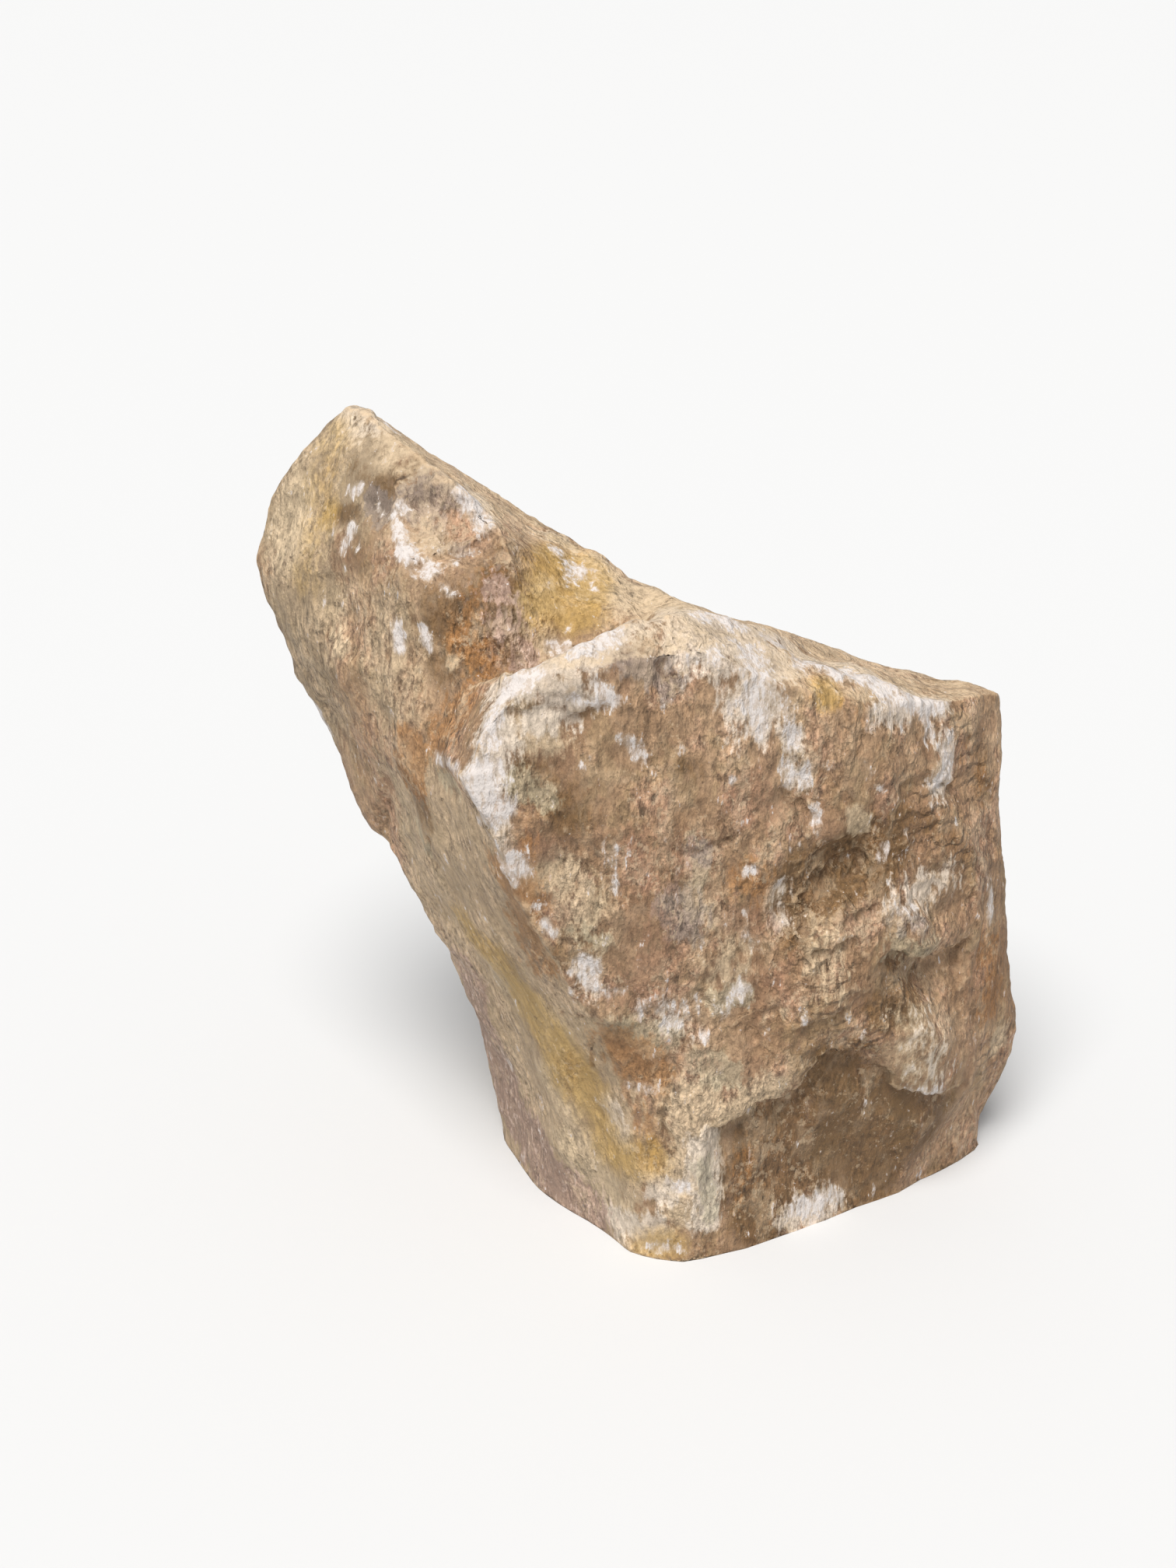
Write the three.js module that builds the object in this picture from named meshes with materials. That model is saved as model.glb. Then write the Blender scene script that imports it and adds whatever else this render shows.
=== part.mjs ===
// A rough, unpolished hand specimen of honeycomb calcite: one solid block of stone, broken on every side.
// A squat block stands at the right, on a flat base. Its big front break is nearly plane, and its left wall
// draws in towards the foot. A taller lobe rises behind the block's left shoulder and overhangs to the left.
// Millimetres, +Z up, front towards -Y. The origin is the middle of the bounding box, at the base.
import * as THREE from "three";
import { ImprovedNoise } from "three/addons/math/ImprovedNoise.js";

// Overall size of the finished stone.
const WIDTH = 140;
const DEPTH = 98;
const HEIGHT = 143;

// How finely the breaks are cut, and how rough they are.
const LONGEST_EDGE = 5.6;
const BREAK_ROUGHNESS = 0.05;
const ARRIS_WEAR = 0.26;

// Broad waves and short grain on the broken faces: height and length.
const WAVE_HEIGHT = 1;
const WAVE_LENGTH = 19;
const GRAIN_HEIGHT = 0.5;
const GRAIN_LENGTH = 7;

const COLOUR = 0xb08a64;
const ROUGHNESS = 0.78;

// The corners where three or more breaks meet: x, y, z.
const CORNERS = {
  // Top line, from the lobe's peak down to the block's right corner.
  crest0: [-49.5, 3, 143.5],
  crest1: [-43.5, 4, 139],
  crest2: [-30.5, 2, 132],
  crest3: [-22.5, 0, 126],
  crest4: [-12, -4, 122],
  crest5: [-3.5, -10, 117.5],
  crest6: [4.5, -18, 115.5],
  crest7: [27.5, -12, 106.5],
  crest8: [39.5, -3, 99],
  crest9: [52, 1, 94.5],
  crest10: [63.5, -6, 93.5],
  // Front edge of the lobe's narrow top.
  brow1: [-42.5, -6, 141],
  brow2: [-34.5, -14, 136],
  brow3: [-29.5, -17, 133.5],
  brow4: [-25, -18, 129.5],
  cap: [-49.5, -5, 138],
  // Left side of the lobe, down to the lip under it.
  flank1: [-54.5, 4, 140],
  flank2: [-57.5, 4, 136.5],
  flank3: [-61, 4, 132],
  flank4: [-65, 4, 126],
  flank5: [-68, 3, 115.5],
  flank6: [-66, 3, 106],
  flank7: [-62.5, 2, 93],
  flank8: [-57, 0, 82],
  flank9: [-51.5, -5, 71],
  flank10: [-49.5, -7, 66.5],
  flank11: [-45.5, -8, 66.5],
  // Left side below the lip, drawing in to the base.
  under1: [-45.5, -6, 64],
  under2: [-37.5, -12, 48.5],
  under3: [-33.5, -6, 35],
  under4: [-28.5, -5, 13.5],
  // Front of the lobe.
  face1: [-41.5, -16, 132.5],
  face2: [-42, -20, 127.5],
  face3: [-43, -23, 122],
  face4: [-52.5, -13, 118.5],
  face5: [-31.5, -30, 116],
  face6: [-21.5, -28, 118],
  face7: [-20.5, -30, 109.5],
  face8: [-42.5, -25, 111.5],
  face9: [-42.5, -26, 100.5],
  face10: [-53, -14, 101.5],
  face11: [-44.5, -24, 91],
  // Chip knocked out below the brow, and the small shelf under it.
  chip1: [-40, -15, 134],
  chip2: [-29.5, -18, 133.5],
  chip3: [-29.5, -22, 127.5],
  chip4: [-34.5, -24, 126.5],
  shelf1: [-40, -26, 123.5],
  shelf3: [-23, -21, 127.5],
  // Crevice between the lobe and the block's left wall.
  seam1: [-37, -33, 86.5],
  seam2: [-37.5, -31, 77.5],
  seam3: [-35.5, -26, 66],
  // Saddle from the lobe down to the block, and the nook behind the block's rim.
  saddle0: [-17, -16, 122.5],
  saddle1: [-12, -22, 117],
  saddle2: [-3.5, -24, 116],
  nook1: [-18, -31, 106],
  nook2: [-6, -29, 110],
  nook3: [0, -25, 113],
  // Upper left corner of the block.
  horn0: [-21.5, -46, 113.5],
  horn1: [-28, -34, 106],
  horn2: [-35, -34, 94],
  horn3: [-25, -50, 107],
  horn4: [-28, -52, 98.5],
  // Crushed rim along the block's top, and the bevel under it.
  rim0: [-16, -46, 115.5],
  rim1: [-9, -43, 117.5],
  rim2: [-3, -40, 119],
  rim3: [8.5, -32, 119],
  rim4: [16.5, -29, 115.5],
  rim5: [21.5, -31, 111],
  rim6: [35, -27, 105.5],
  rim7: [49.5, -22, 98.5],
  bevel0: [-17, -49, 113],
  bevel1: [-5.5, -46.5, 115],
  bevel2: [8, -42, 116],
  bevel3: [22, -38, 108],
  bevel4: [37.5, -32.5, 102.5],
  // Left arris of the front break, running down to the right.
  arris2: [-24, -51.5, 86],
  arris3: [-22, -51, 81.5],
  arris4: [-16.5, -49.5, 67],
  arris5: [-11, -48, 56.5],
  arris6: [-3.5, -46.5, 49],
  // Front break.
  front1: [-5, -48.5, 88.5],
  front2: [9, -45.5, 67],
  front3: [17.5, -43, 46],
  scoop1: [22.5, -41.5, 64],
  scoop2: [27.5, -39, 76.5],
  scoop3: [42.5, -32, 79],
  corner1: [55, -22, 77.5],
  // Nearly upright edge down to the near corner of the base.
  prow1: [10, -44, 44],
  prow2: [10, -45, 28],
  prow3: [9.5, -45.5, 10.5],
  // Lumpy mass, nose, hollow and bulge on the right of the front.
  mass1: [28, -43, 59],
  mass2: [41.5, -36.5, 57.5],
  mass3: [43, -35.5, 39.5],
  nose1: [43, -33.5, 68],
  nose2: [59, -21.5, 62],
  nose3: [48.5, -35, 57.5],
  nose4: [59.5, -21, 55],
  hollow: [50.5, -28, 47.5],
  bulge: [51.5, -32, 39],
  strip1: [60, -20.5, 46.5],
  strip2: [61.5, -20, 28.5],
  // Ledge under the mass and the bulge: its lip, and the toe set back under it.
  lip1: [16.5, -43.5, 28.5],
  lip2: [23.5, -41.5, 31.5],
  lip3: [30.5, -39.5, 38.5],
  lip4: [39, -36.5, 38.5],
  lip5: [51.5, -29.5, 24.5],
  lip6: [61, -19.5, 19.5],
  toe1: [16.5, -41.5, 24.5],
  toe2: [24.5, -38.5, 26.5],
  toe3: [32, -35.5, 32.5],
  toe4: [40, -33, 30],
  toe5: [52.5, -26.5, 19.5],
  toe6: [62, -17, 16],
  low1: [36.5, -30, 13],
  // Right side.
  right1: [65, -9, 78.5],
  right2: [66, -10, 63.5],
  right3: [68.5, -9, 46.5],
  right4: [72, -8, 24.5],
  right5: [70, -8, 14.5],
  right6: [67, -8.5, 5.5],
  // Left wall of the block, with the brown crust at its far side.
  wall1: [-26.5, -42, 72.5],
  crust1: [-29.5, -20, 43],
  crust2: [-21, -28, 36],
  crust3: [-13, -32, 17.5],
  band1: [-17, -39, 49.5],
  band2: [-5, -43.5, 40],
  band3: [-0.5, -43, 20],
  // Edge of the base, in front.
  foot0: [67, -9, 0],
  foot1: [48.5, -25, 0],
  foot2: [31.5, -34.5, 0],
  foot3: [18.5, -42, 0],
  foot4: [7.5, -46, 0],
  foot5: [-2.5, -43, 0],
  foot6: [-7, -36.5, 0],
  foot7: [-18.5, -25.5, 0],
  foot8: [-25.5, -7, 0],
  // Edge of the base, behind.
  heel1: [-26, 16, 0],
  heel2: [-14, 36, 0],
  heel3: [14, 43, 0],
  heel4: [44, 33, 0],
  heel5: [62, 10, 0],
  // Back of the stone.
  hump1: [-46, 24, 134],
  hump2: [-28, 28, 116],
  hump3: [-8, 26, 102],
  hump4: [18, 14, 100],
  hump5: [44, 20, 86],
  back1: [-60, 20, 112],
  back2: [-44, 36, 92],
  back3: [-12, 44, 78],
  back4: [20, 42, 66],
  back5: [52, 30, 58],
  back6: [68, 10, 52],
  back7: [-46, 22, 64],
  back8: [-28, 36, 38],
  back9: [6, 46, 30],
  back10: [42, 38, 24],
  back11: [64, 12, 22],
};

// Lumps standing out of the breaks, and dents struck into them: x, y, z, radius, height (below 0 for a dent).
const LUMPS = [
  // Pits high on the lobe.
  [-45, -16, 130.5, 5, -1],
  // Groove curving across the front break, round the top of the mass.
  [24, -40, 71, 7, -1.3],
  [29.5, -38, 77, 7, -1.6],
  [37, -35, 77, 7, -1.7],
  [44, -31, 79, 7, -1.3],
  // The mass itself.
  [33, -40, 67, 8, 1.2],
  [31.5, -41, 48, 9, 1.3],
  [36.5, -39, 53.5, 7, 1],
  [18.5, -43.5, 36, 7, 0.9],
  // Nose, hollow and bulge.
  [50.5, -35, 63, 9, 1.6],
  [50, -29, 48, 8, -1.8],
  [51.5, -32, 36, 9, 1.2],
  // Low break.
  [26, -38, 16, 12, -0.8],
  // Lobe.
  [-58.5, -6, 121, 12, 1],
  [-53, -15, 115, 9, -0.9],
  [-51.5, -17, 104, 10, 1],
  [-47, -22, 97.5, 8, -0.8],
  [-34.5, -29, 121, 8, 0.8],
  [-29, -31, 112.5, 8, -0.7],
  // Left wall and crust.
  [-25.5, -18, 35, 9, 0.9],
  [-18.5, -28, 14.5, 10, 0.9],
  [-3, -43, 35, 8, -0.9],
  [-24, -44, 68, 9, -0.7],
  // Right corner.
  [57, -18, 90, 7, 1],
  [59, -17, 81, 6, -1],
  [61.5, -17, 65.5, 7, 0.9],
  // Saddle.
  [-11.5, -12, 121, 9, 0.9],
  // Back and right side.
  [-40, 28, 116, 14, 1.8],
  [-24, 36, 96, 12, -1.6],
  [-2, 34, 92, 14, 1.5],
  [10, 42, 60, 13, -1.5],
  [32, 30, 74, 12, 1.5],
  [46, 36, 46, 13, 1.3],
  [66, 12, 66, 11, -1.3],
  [62, 2, 36, 12, 1.2],
  [-34, 28, 52, 12, 1.4],
  [-14, 42, 40, 13, 1.4],
  [24, 44, 22, 11, -1.2],
];

// The breaks, each a fan of triangles from its first corner. The base is closed afterwards.
const BREAKS = [
  // Narrow top of the lobe.
  "crest0 brow1 crest1",
  "crest1 brow1 brow2 crest2",
  "crest2 brow2 brow3",
  "crest2 brow3 brow4 crest3",
  // Peak and left side of the lobe.
  "crest0 flank1 flank2 cap",
  "flank2 flank3 flank4 cap",
  "cap flank4 flank5 face4",
  "cap face4 face3 face2",
  "cap face2 face1 brow1",
  "crest0 cap brow1",
  // Chip and shelf.
  "brow1 face1 chip1 brow2",
  "brow2 chip1 chip2 brow3",
  "brow3 chip2 brow4",
  "chip1 face1 face2",
  "chip1 face2 chip4",
  "chip1 chip4 chip3 chip2",
  "face2 face3 shelf1 chip4",
  "chip2 chip3 shelf3 brow4",
  "brow4 shelf3 crest3",
  // Front of the lobe.
  "shelf1 face3 face8",
  "shelf1 face8 face5",
  "shelf1 face5 chip4",
  "chip4 face5 chip3",
  "chip3 face5 shelf3",
  "shelf3 face5 face6",
  "face6 face5 face7",
  "face7 face5 horn1",
  "face5 face8 face9",
  "face5 face9 horn1",
  "face7 horn1 nook1",
  "flank5 flank6 face10 face4",
  "flank6 flank7 face10",
  "flank7 flank8 face10",
  "face4 face10 face8 face3",
  "face10 face9 face8",
  "face10 face11 face9",
  "flank8 face11 face10",
  "flank8 flank9 face11",
  "face9 face11 seam1 horn2",
  "face9 horn2 horn1",
  "face11 flank9 flank10",
  "face11 flank10 flank11",
  "face11 flank11 seam1",
  "flank11 seam2 seam1",
  "flank11 under1 seam2",
  "under1 seam3 seam2",
  "under1 under2 seam3",
  // Saddle.
  "crest3 shelf3 saddle0",
  "crest3 saddle0 crest4",
  "shelf3 face6 saddle0",
  "saddle0 face6 saddle1",
  "saddle0 saddle1 crest4",
  "crest4 saddle1 saddle2 crest5",
  "crest5 saddle2 nook3 crest6",
  "saddle1 face6 face7",
  "saddle1 face7 nook1 nook2",
  "saddle1 nook2 saddle2",
  "saddle2 nook2 nook3",
  // Nook behind the block's rim.
  "horn1 horn0 nook1",
  "horn0 rim0 rim1",
  "horn0 rim1 nook2",
  "horn0 nook2 nook1",
  "rim1 rim2 nook3 nook2",
  "rim2 rim3 crest6 nook3",
  // Upper left corner of the block.
  "horn3 horn0 horn1",
  "horn3 horn1 horn2",
  "horn3 horn2 horn4",
  // Top of the block.
  "rim4 rim5 crest7",
  "rim5 rim6 crest8 crest7",
  "rim6 rim7 crest9 crest8",
  "rim7 crest10 crest9",
  // Bevel under the rim.
  "horn0 horn3 bevel0 rim0",
  "rim0 bevel0 bevel1 rim1",
  "rim1 bevel1 rim2",
  "rim2 bevel1 bevel2 rim3",
  "rim3 bevel2 rim4",
  "rim4 bevel2 bevel3 rim5",
  "rim5 bevel3 bevel4 rim6",
  "rim6 bevel4 rim7",
  // Front break.
  "horn3 horn4 front1 bevel0",
  "horn4 arris2 front1",
  "arris2 arris3 front1",
  "arris3 arris4 front1",
  "front1 arris4 front2",
  "arris4 arris5 front2",
  "arris5 arris6 front2",
  "arris6 prow1 front2",
  "bevel0 front1 bevel1",
  "bevel1 front1 bevel2",
  "bevel2 front1 front2",
  "bevel2 front2 scoop2",
  "bevel2 scoop2 bevel3",
  "front2 scoop1 scoop2",
  "front2 prow1 front3",
  "front2 front3 scoop1",
  "bevel3 scoop2 scoop3 bevel4",
  "bevel4 scoop3 corner1 rim7",
  "rim7 corner1 right1 crest10",
  // Mass, nose, hollow and bulge.
  "scoop2 scoop1 mass1",
  "scoop1 front3 mass1",
  "scoop2 mass1 mass2",
  "scoop2 mass2 nose1 scoop3",
  "mass1 mass3 mass2",
  "front3 lip1 lip2",
  "front3 lip2 mass1",
  "mass1 lip2 lip3",
  "mass1 lip3 lip4 mass3",
  "prow1 prow2 lip1 front3",
  "scoop3 nose1 nose2 corner1",
  "corner1 nose2 right2 right1",
  "nose1 nose3 nose4 nose2",
  "nose2 nose4 right3 right2",
  "nose1 mass2 nose3",
  "nose3 mass2 hollow",
  "nose3 hollow nose4",
  "nose4 hollow strip1",
  "nose4 strip1 right3",
  "mass2 mass3 bulge hollow",
  "hollow bulge strip2 strip1",
  "strip1 strip2 right4 right3",
  "mass3 lip4 toe4",
  "mass3 toe4 lip5 bulge",
  "bulge lip5 lip6 strip2",
  "strip2 lip6 right5 right4",
  // Ledge, and the low break under it.
  "lip1 toe1 toe2 lip2",
  "lip2 toe2 toe3 lip3",
  "lip3 toe3 toe4 lip4",
  "toe4 toe5 lip5",
  "lip5 toe5 toe6 lip6",
  "lip6 toe6 right6 right5",
  "prow2 toe1 lip1",
  "prow2 prow3 toe1",
  "prow3 foot4 foot3",
  "prow3 foot3 foot2",
  "prow3 foot2 low1",
  "prow3 low1 toe1",
  "toe1 low1 toe2",
  "toe2 low1 toe3",
  "toe3 low1 toe4",
  "toe4 low1 toe5",
  "low1 foot2 foot1",
  "low1 foot1 toe5",
  "toe5 foot1 foot0",
  "toe5 foot0 toe6",
  "toe6 foot0 right6",
  // Left wall and crust.
  "horn2 seam1 arris2 horn4",
  "seam1 seam2 wall1 arris2",
  "seam2 seam3 wall1",
  "wall1 arris3 arris2",
  "wall1 arris4 arris3",
  "seam3 under2 wall1",
  "under2 crust1 wall1",
  "under2 under3 crust1",
  "wall1 crust1 band1",
  "wall1 band1 arris4",
  "arris4 band1 arris5",
  "arris5 band1 band2 arris6",
  "arris6 band2 prow1",
  "crust1 crust2 band1",
  "band1 crust2 crust3 band2",
  "band2 crust3 band3",
  "band2 band3 prow2 prow1",
  "crust3 foot6 band3",
  "band3 foot6 foot5",
  "band3 foot5 prow3",
  "prow3 foot5 foot4",
  "band3 prow3 prow2",
  "crust1 under3 under4 crust2",
  "crust2 under4 foot8",
  "crust2 foot8 crust3",
  "crust3 foot8 foot7",
  "crust3 foot7 foot6",
  // Top of the back.
  "crest0 crest1 hump1",
  "crest1 crest2 hump2 hump1",
  "crest2 crest3 hump2",
  "crest3 crest4 hump3 hump2",
  "crest4 crest5 hump3",
  "crest5 crest6 hump4 hump3",
  "crest6 rim3 rim4 hump4",
  "rim4 crest7 hump4",
  "crest7 crest8 hump4",
  "crest8 crest9 hump5 hump4",
  "crest9 crest10 hump5",
  "crest10 back6 hump5",
  "hump5 back6 back5",
  // Right side, behind.
  "crest10 right1 back6",
  "right1 right2 back6",
  "right2 right3 back6",
  "right3 right4 back11 back6",
  "right4 right5 back11",
  "right5 right6 back11",
  "right6 foot0 back11",
  "foot0 heel5 back11",
  // Left side, behind.
  "crest0 hump1 flank1",
  "flank1 hump1 flank2",
  "flank2 hump1 back1 flank3",
  "flank3 back1 flank4",
  "flank4 back1 flank5",
  "flank5 back1 flank6",
  "flank6 back1 flank7",
  "flank7 back1 back7",
  "flank7 back7 flank8",
  "flank8 back7 flank9",
  "flank9 back7 flank10",
  "flank10 flank11 under1",
  "flank10 under1 back7",
  "under1 under2 back7",
  "under2 back8 back7",
  "under2 under3 back8",
  "under3 under4 back8",
  "under4 heel1 back8",
  "under4 foot8 heel1",
  // Back.
  "back1 hump1 back2",
  "hump1 hump2 back2",
  "back1 back2 back7",
  "hump2 hump3 back3 back2",
  "back2 back3 back8 back7",
  "hump3 hump4 back4 back3",
  "hump4 hump5 back5 back4",
  "back3 back4 back9",
  "back3 back9 back8",
  "back4 back5 back10 back9",
  "back5 back6 back11 back10",
  "back8 heel1 heel2",
  "back8 heel2 heel3 back9",
  "back9 heel3 heel4 back10",
  "back10 heel4 heel5 back11",
];

const noise = new ImprovedNoise();

// The cage as points and triangles that share them.
function cage() {
  const names = Object.keys(CORNERS);
  const points = names.map((name) => new THREE.Vector3(...CORNERS[name]));
  const triangles = [];
  for (const line of BREAKS) {
    const ring = line.split(" ").map((name) => names.indexOf(name));
    if (ring.includes(-1)) throw new Error("no such corner in: " + line);
    for (let i = 2; i < ring.length; i++) triangles.push([ring[0], ring[i - 1], ring[i]]);
  }
  return { points, triangles: turnedOutwards(points, triangles) };
}

// Walks from triangle to triangle over shared edges, turning each to match its neighbour, then faces all out.
function turnedOutwards(points, triangles) {
  const byEdge = new Map();
  triangles.forEach((t, i) => {
    for (let k = 0; k < 3; k++) {
      const a = t[k];
      const b = t[(k + 1) % 3];
      const key = Math.min(a, b) + "_" + Math.max(a, b);
      if (!byEdge.has(key)) byEdge.set(key, []);
      byEdge.get(key).push(i);
    }
  });
  const seen = new Set([0]);
  const queue = [0];
  const runs = (t, a, b) => t[(t.indexOf(a) + 1) % 3] === b;
  while (queue.length) {
    const i = queue.pop();
    const t = triangles[i];
    for (let k = 0; k < 3; k++) {
      const a = t[k];
      const b = t[(k + 1) % 3];
      for (const j of byEdge.get(Math.min(a, b) + "_" + Math.max(a, b))) {
        if (seen.has(j)) continue;
        if (runs(triangles[j], a, b)) triangles[j].reverse();
        seen.add(j);
        queue.push(j);
      }
    }
  }
  const volume = triangles.reduce(
    (sum, [a, b, c]) => sum + points[a].dot(points[b].clone().cross(points[c])),
    0,
  );
  if (volume < 0) triangles.forEach((t) => t.reverse());
  return triangles;
}

// Unit normal of the surface at each point. A point on the base's edge keeps a level normal.
function normalsOf({ points, triangles }) {
  const normals = points.map(() => new THREE.Vector3());
  const ab = new THREE.Vector3();
  const ac = new THREE.Vector3();
  for (const [a, b, c] of triangles) {
    ab.subVectors(points[b], points[a]);
    ac.subVectors(points[c], points[a]).cross(ab).negate();
    for (const i of [a, b, c]) normals[i].add(ac);
  }
  normals.forEach((n, i) => {
    if (points[i].z === 0) n.z = 0;
    n.normalize();
  });
  return normals;
}

// Cuts every edge longer than the given length at its middle. The new point is pushed in or out of the
// break by a share of the edge's length, as a real break wavers more over a longer run.
function refined(stone, longest) {
  const { points, triangles } = stone;
  const normals = normalsOf(stone);
  const middles = new Map();
  const middle = (a, b) => {
    const length = points[a].distanceTo(points[b]);
    if (length <= longest) return -1;
    const key = Math.min(a, b) + "_" + Math.max(a, b);
    if (!middles.has(key)) {
      const p = points[a].clone().add(points[b]).multiplyScalar(0.5);
      const push = noise.noise(p.x * 0.31 + 7, p.y * 0.31 + 3, p.z * 0.31) * length * BREAK_ROUGHNESS;
      const n = normals[a].clone().add(normals[b]);
      if (p.z === 0) n.z = 0;
      middles.set(key, points.length);
      points.push(p.addScaledVector(n.normalize(), push));
    }
    return middles.get(key);
  };
  const out = [];
  for (const [a, b, c] of triangles) {
    const cuts = [middle(a, b), middle(b, c), middle(c, a)];
    const count = cuts.filter((m) => m >= 0).length;
    if (count === 0) {
      out.push([a, b, c]);
    } else if (count === 3) {
      const [ab, bc, ca] = cuts;
      out.push([a, ab, ca], [ab, b, bc], [ca, bc, c], [ab, bc, ca]);
    } else {
      // Turned so that the first edge is cut, and the last one isn't.
      let [p, q, r] = [a, b, c];
      let [pq, qr, rp] = cuts;
      while (pq < 0 || rp >= 0) {
        [p, q, r] = [q, r, p];
        [pq, qr, rp] = [qr, rp, pq];
      }
      if (qr < 0) out.push([p, pq, r], [pq, q, r]);
      else out.push([pq, q, qr], [p, pq, qr], [p, qr, r]);
    }
  }
  return { points, triangles: out };
}

// Rubs the corners and arrises down a little: each point moves towards the mean of its neighbours.
function worn({ points, triangles }) {
  const sums = points.map(() => new THREE.Vector3());
  const counts = points.map(() => 0);
  for (const t of triangles) {
    t.forEach((a, k) => {
      sums[a].add(points[t[(k + 1) % 3]]);
      counts[a] += 1;
    });
  }
  points.forEach((p, i) => {
    const onBase = p.z === 0;
    p.lerp(sums[i].multiplyScalar(1 / counts[i]), ARRIS_WEAR);
    if (onBase) p.z = 0;
  });
}

// Waves, grain and the listed lumps, pushed along the normals. A lump is a smooth dome that ends at its radius.
function roughened(stone) {
  const normals = normalsOf(stone);
  const lumps = LUMPS.map(([x, y, z, radius, height]) => ({ at: new THREE.Vector3(x, y, z), radius, height }));
  stone.points.forEach((p, i) => {
    const onBase = p.z === 0;
    const wave = noise.noise(p.x / WAVE_LENGTH + 11, p.y / WAVE_LENGTH, p.z / WAVE_LENGTH + 5);
    const grain = noise.noise(p.x / GRAIN_LENGTH, p.y / GRAIN_LENGTH + 21, p.z / GRAIN_LENGTH);
    let push = wave * WAVE_HEIGHT + grain * GRAIN_HEIGHT;
    for (const { at, radius, height } of lumps) {
      const t = at.distanceTo(p) / radius;
      if (t < 1) push += height * (1 - t * t) ** 2;
    }
    p.addScaledVector(normals[i], push);
    p.z = onBase ? 0 : Math.max(p.z, 0.4);
  });
}

// The flat base: the ring of points at height 0, filled with as few triangles as it takes.
function baseOf({ points, triangles }) {
  const next = new Map();
  for (const t of triangles) {
    for (let k = 0; k < 3; k++) {
      const a = t[k];
      const b = t[(k + 1) % 3];
      if (points[a].z === 0 && points[b].z === 0) next.set(b, a);
    }
  }
  const ring = [];
  let at = next.keys().next().value;
  while (!ring.includes(at)) {
    ring.push(at);
    at = next.get(at);
  }
  const outline = ring.map((i) => new THREE.Vector2(points[i].x, points[i].y));
  const faces = THREE.ShapeUtils.triangulateShape(outline, []);
  return faces.map(([a, b, c]) => {
    const down = THREE.ShapeUtils.area([outline[a], outline[b], outline[c]]) < 0;
    return down ? [ring[a], ring[b], ring[c]] : [ring[c], ring[b], ring[a]];
  });
}

function stoneGeometry() {
  let stone = cage();
  for (let longest = 40; longest > LONGEST_EDGE; longest /= 1.5) stone = refined(stone, longest);
  stone = refined(stone, LONGEST_EDGE);
  worn(stone);
  roughened(stone);
  const { points, triangles } = stone;
  const all = triangles.concat(baseOf(stone));

  const box = new THREE.Box3().setFromPoints(points);
  const size = box.getSize(new THREE.Vector3());
  const middle = box.getCenter(new THREE.Vector3());
  const fit = new THREE.Vector3(WIDTH / size.x, DEPTH / size.y, HEIGHT / size.z);
  const place = (p) => [(p.x - middle.x) * fit.x, (p.y - middle.y) * fit.y, p.z * fit.z];

  const geometry = new THREE.BufferGeometry();
  geometry.setAttribute("position", new THREE.Float32BufferAttribute(points.flatMap(place), 3));
  geometry.setIndex(all.flat());
  geometry.computeVertexNormals();
  geometry.userData = { size: size.toArray(), middle: middle.toArray() };
  return geometry;
}

const stone = new THREE.Mesh(
  stoneGeometry(),
  new THREE.MeshStandardMaterial({ color: COLOUR, roughness: ROUGHNESS, metalness: 0 }),
);
stone.name = "calcite_stone";

const group = new THREE.Group();
group.add(stone);

export default group;
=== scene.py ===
import math

import bpy
import numpy as np
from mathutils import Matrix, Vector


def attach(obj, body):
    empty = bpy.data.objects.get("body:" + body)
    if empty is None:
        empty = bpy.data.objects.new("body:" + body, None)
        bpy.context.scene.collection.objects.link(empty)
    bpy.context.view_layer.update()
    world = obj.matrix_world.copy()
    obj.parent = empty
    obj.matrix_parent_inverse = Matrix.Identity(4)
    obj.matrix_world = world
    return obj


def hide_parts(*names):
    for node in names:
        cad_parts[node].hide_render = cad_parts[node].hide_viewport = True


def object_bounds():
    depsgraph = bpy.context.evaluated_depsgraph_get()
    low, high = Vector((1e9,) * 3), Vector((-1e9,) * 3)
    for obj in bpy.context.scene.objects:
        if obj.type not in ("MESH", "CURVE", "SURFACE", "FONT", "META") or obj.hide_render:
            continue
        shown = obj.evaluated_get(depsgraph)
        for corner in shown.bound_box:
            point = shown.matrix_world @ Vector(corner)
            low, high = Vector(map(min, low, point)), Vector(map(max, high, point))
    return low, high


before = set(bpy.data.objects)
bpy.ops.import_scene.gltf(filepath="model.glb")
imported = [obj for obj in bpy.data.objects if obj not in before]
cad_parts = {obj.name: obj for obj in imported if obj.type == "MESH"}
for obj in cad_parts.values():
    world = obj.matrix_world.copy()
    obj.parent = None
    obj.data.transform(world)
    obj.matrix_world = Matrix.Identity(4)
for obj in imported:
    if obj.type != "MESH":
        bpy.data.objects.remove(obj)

# A rough block of honeycomb calcite on a pale studio floor. Shapes and marks are worked out in mm, in the
# frame of the solid, and go into the meshes in metres.
cadBox = [list(corner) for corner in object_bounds()]
mm = 0.001
baseBelow = 0.001   # a point lower than this lies in the flat base, in mm
leastRise = 0.05    # and no other point comes nearer to the floor

view = {
    "lens": 50,
    "sensor": 36,
    "target": (-11.2, 3.1, 73),
    "distance": 400,
    "lookDown": 25,         # degrees
    "frame": (1512, 2016),  # pixels across and down
}

studio = {
    "skyColour": (0.94, 0.97, 1.0),
    "skyStrength": 0.46,
    "sunColour": (1.0, 0.985, 0.965),
    "sunStrength": 4.2,
    "sunSpread": 30,        # degrees
    "sunFrom": (-0.14, -0.46, 0.87),
    "floorColour": "cbcbcb",
    "floorRoughness": 0.9,
    "floorGloss": 0.1,
    "floorSize": 9000,
}


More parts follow.
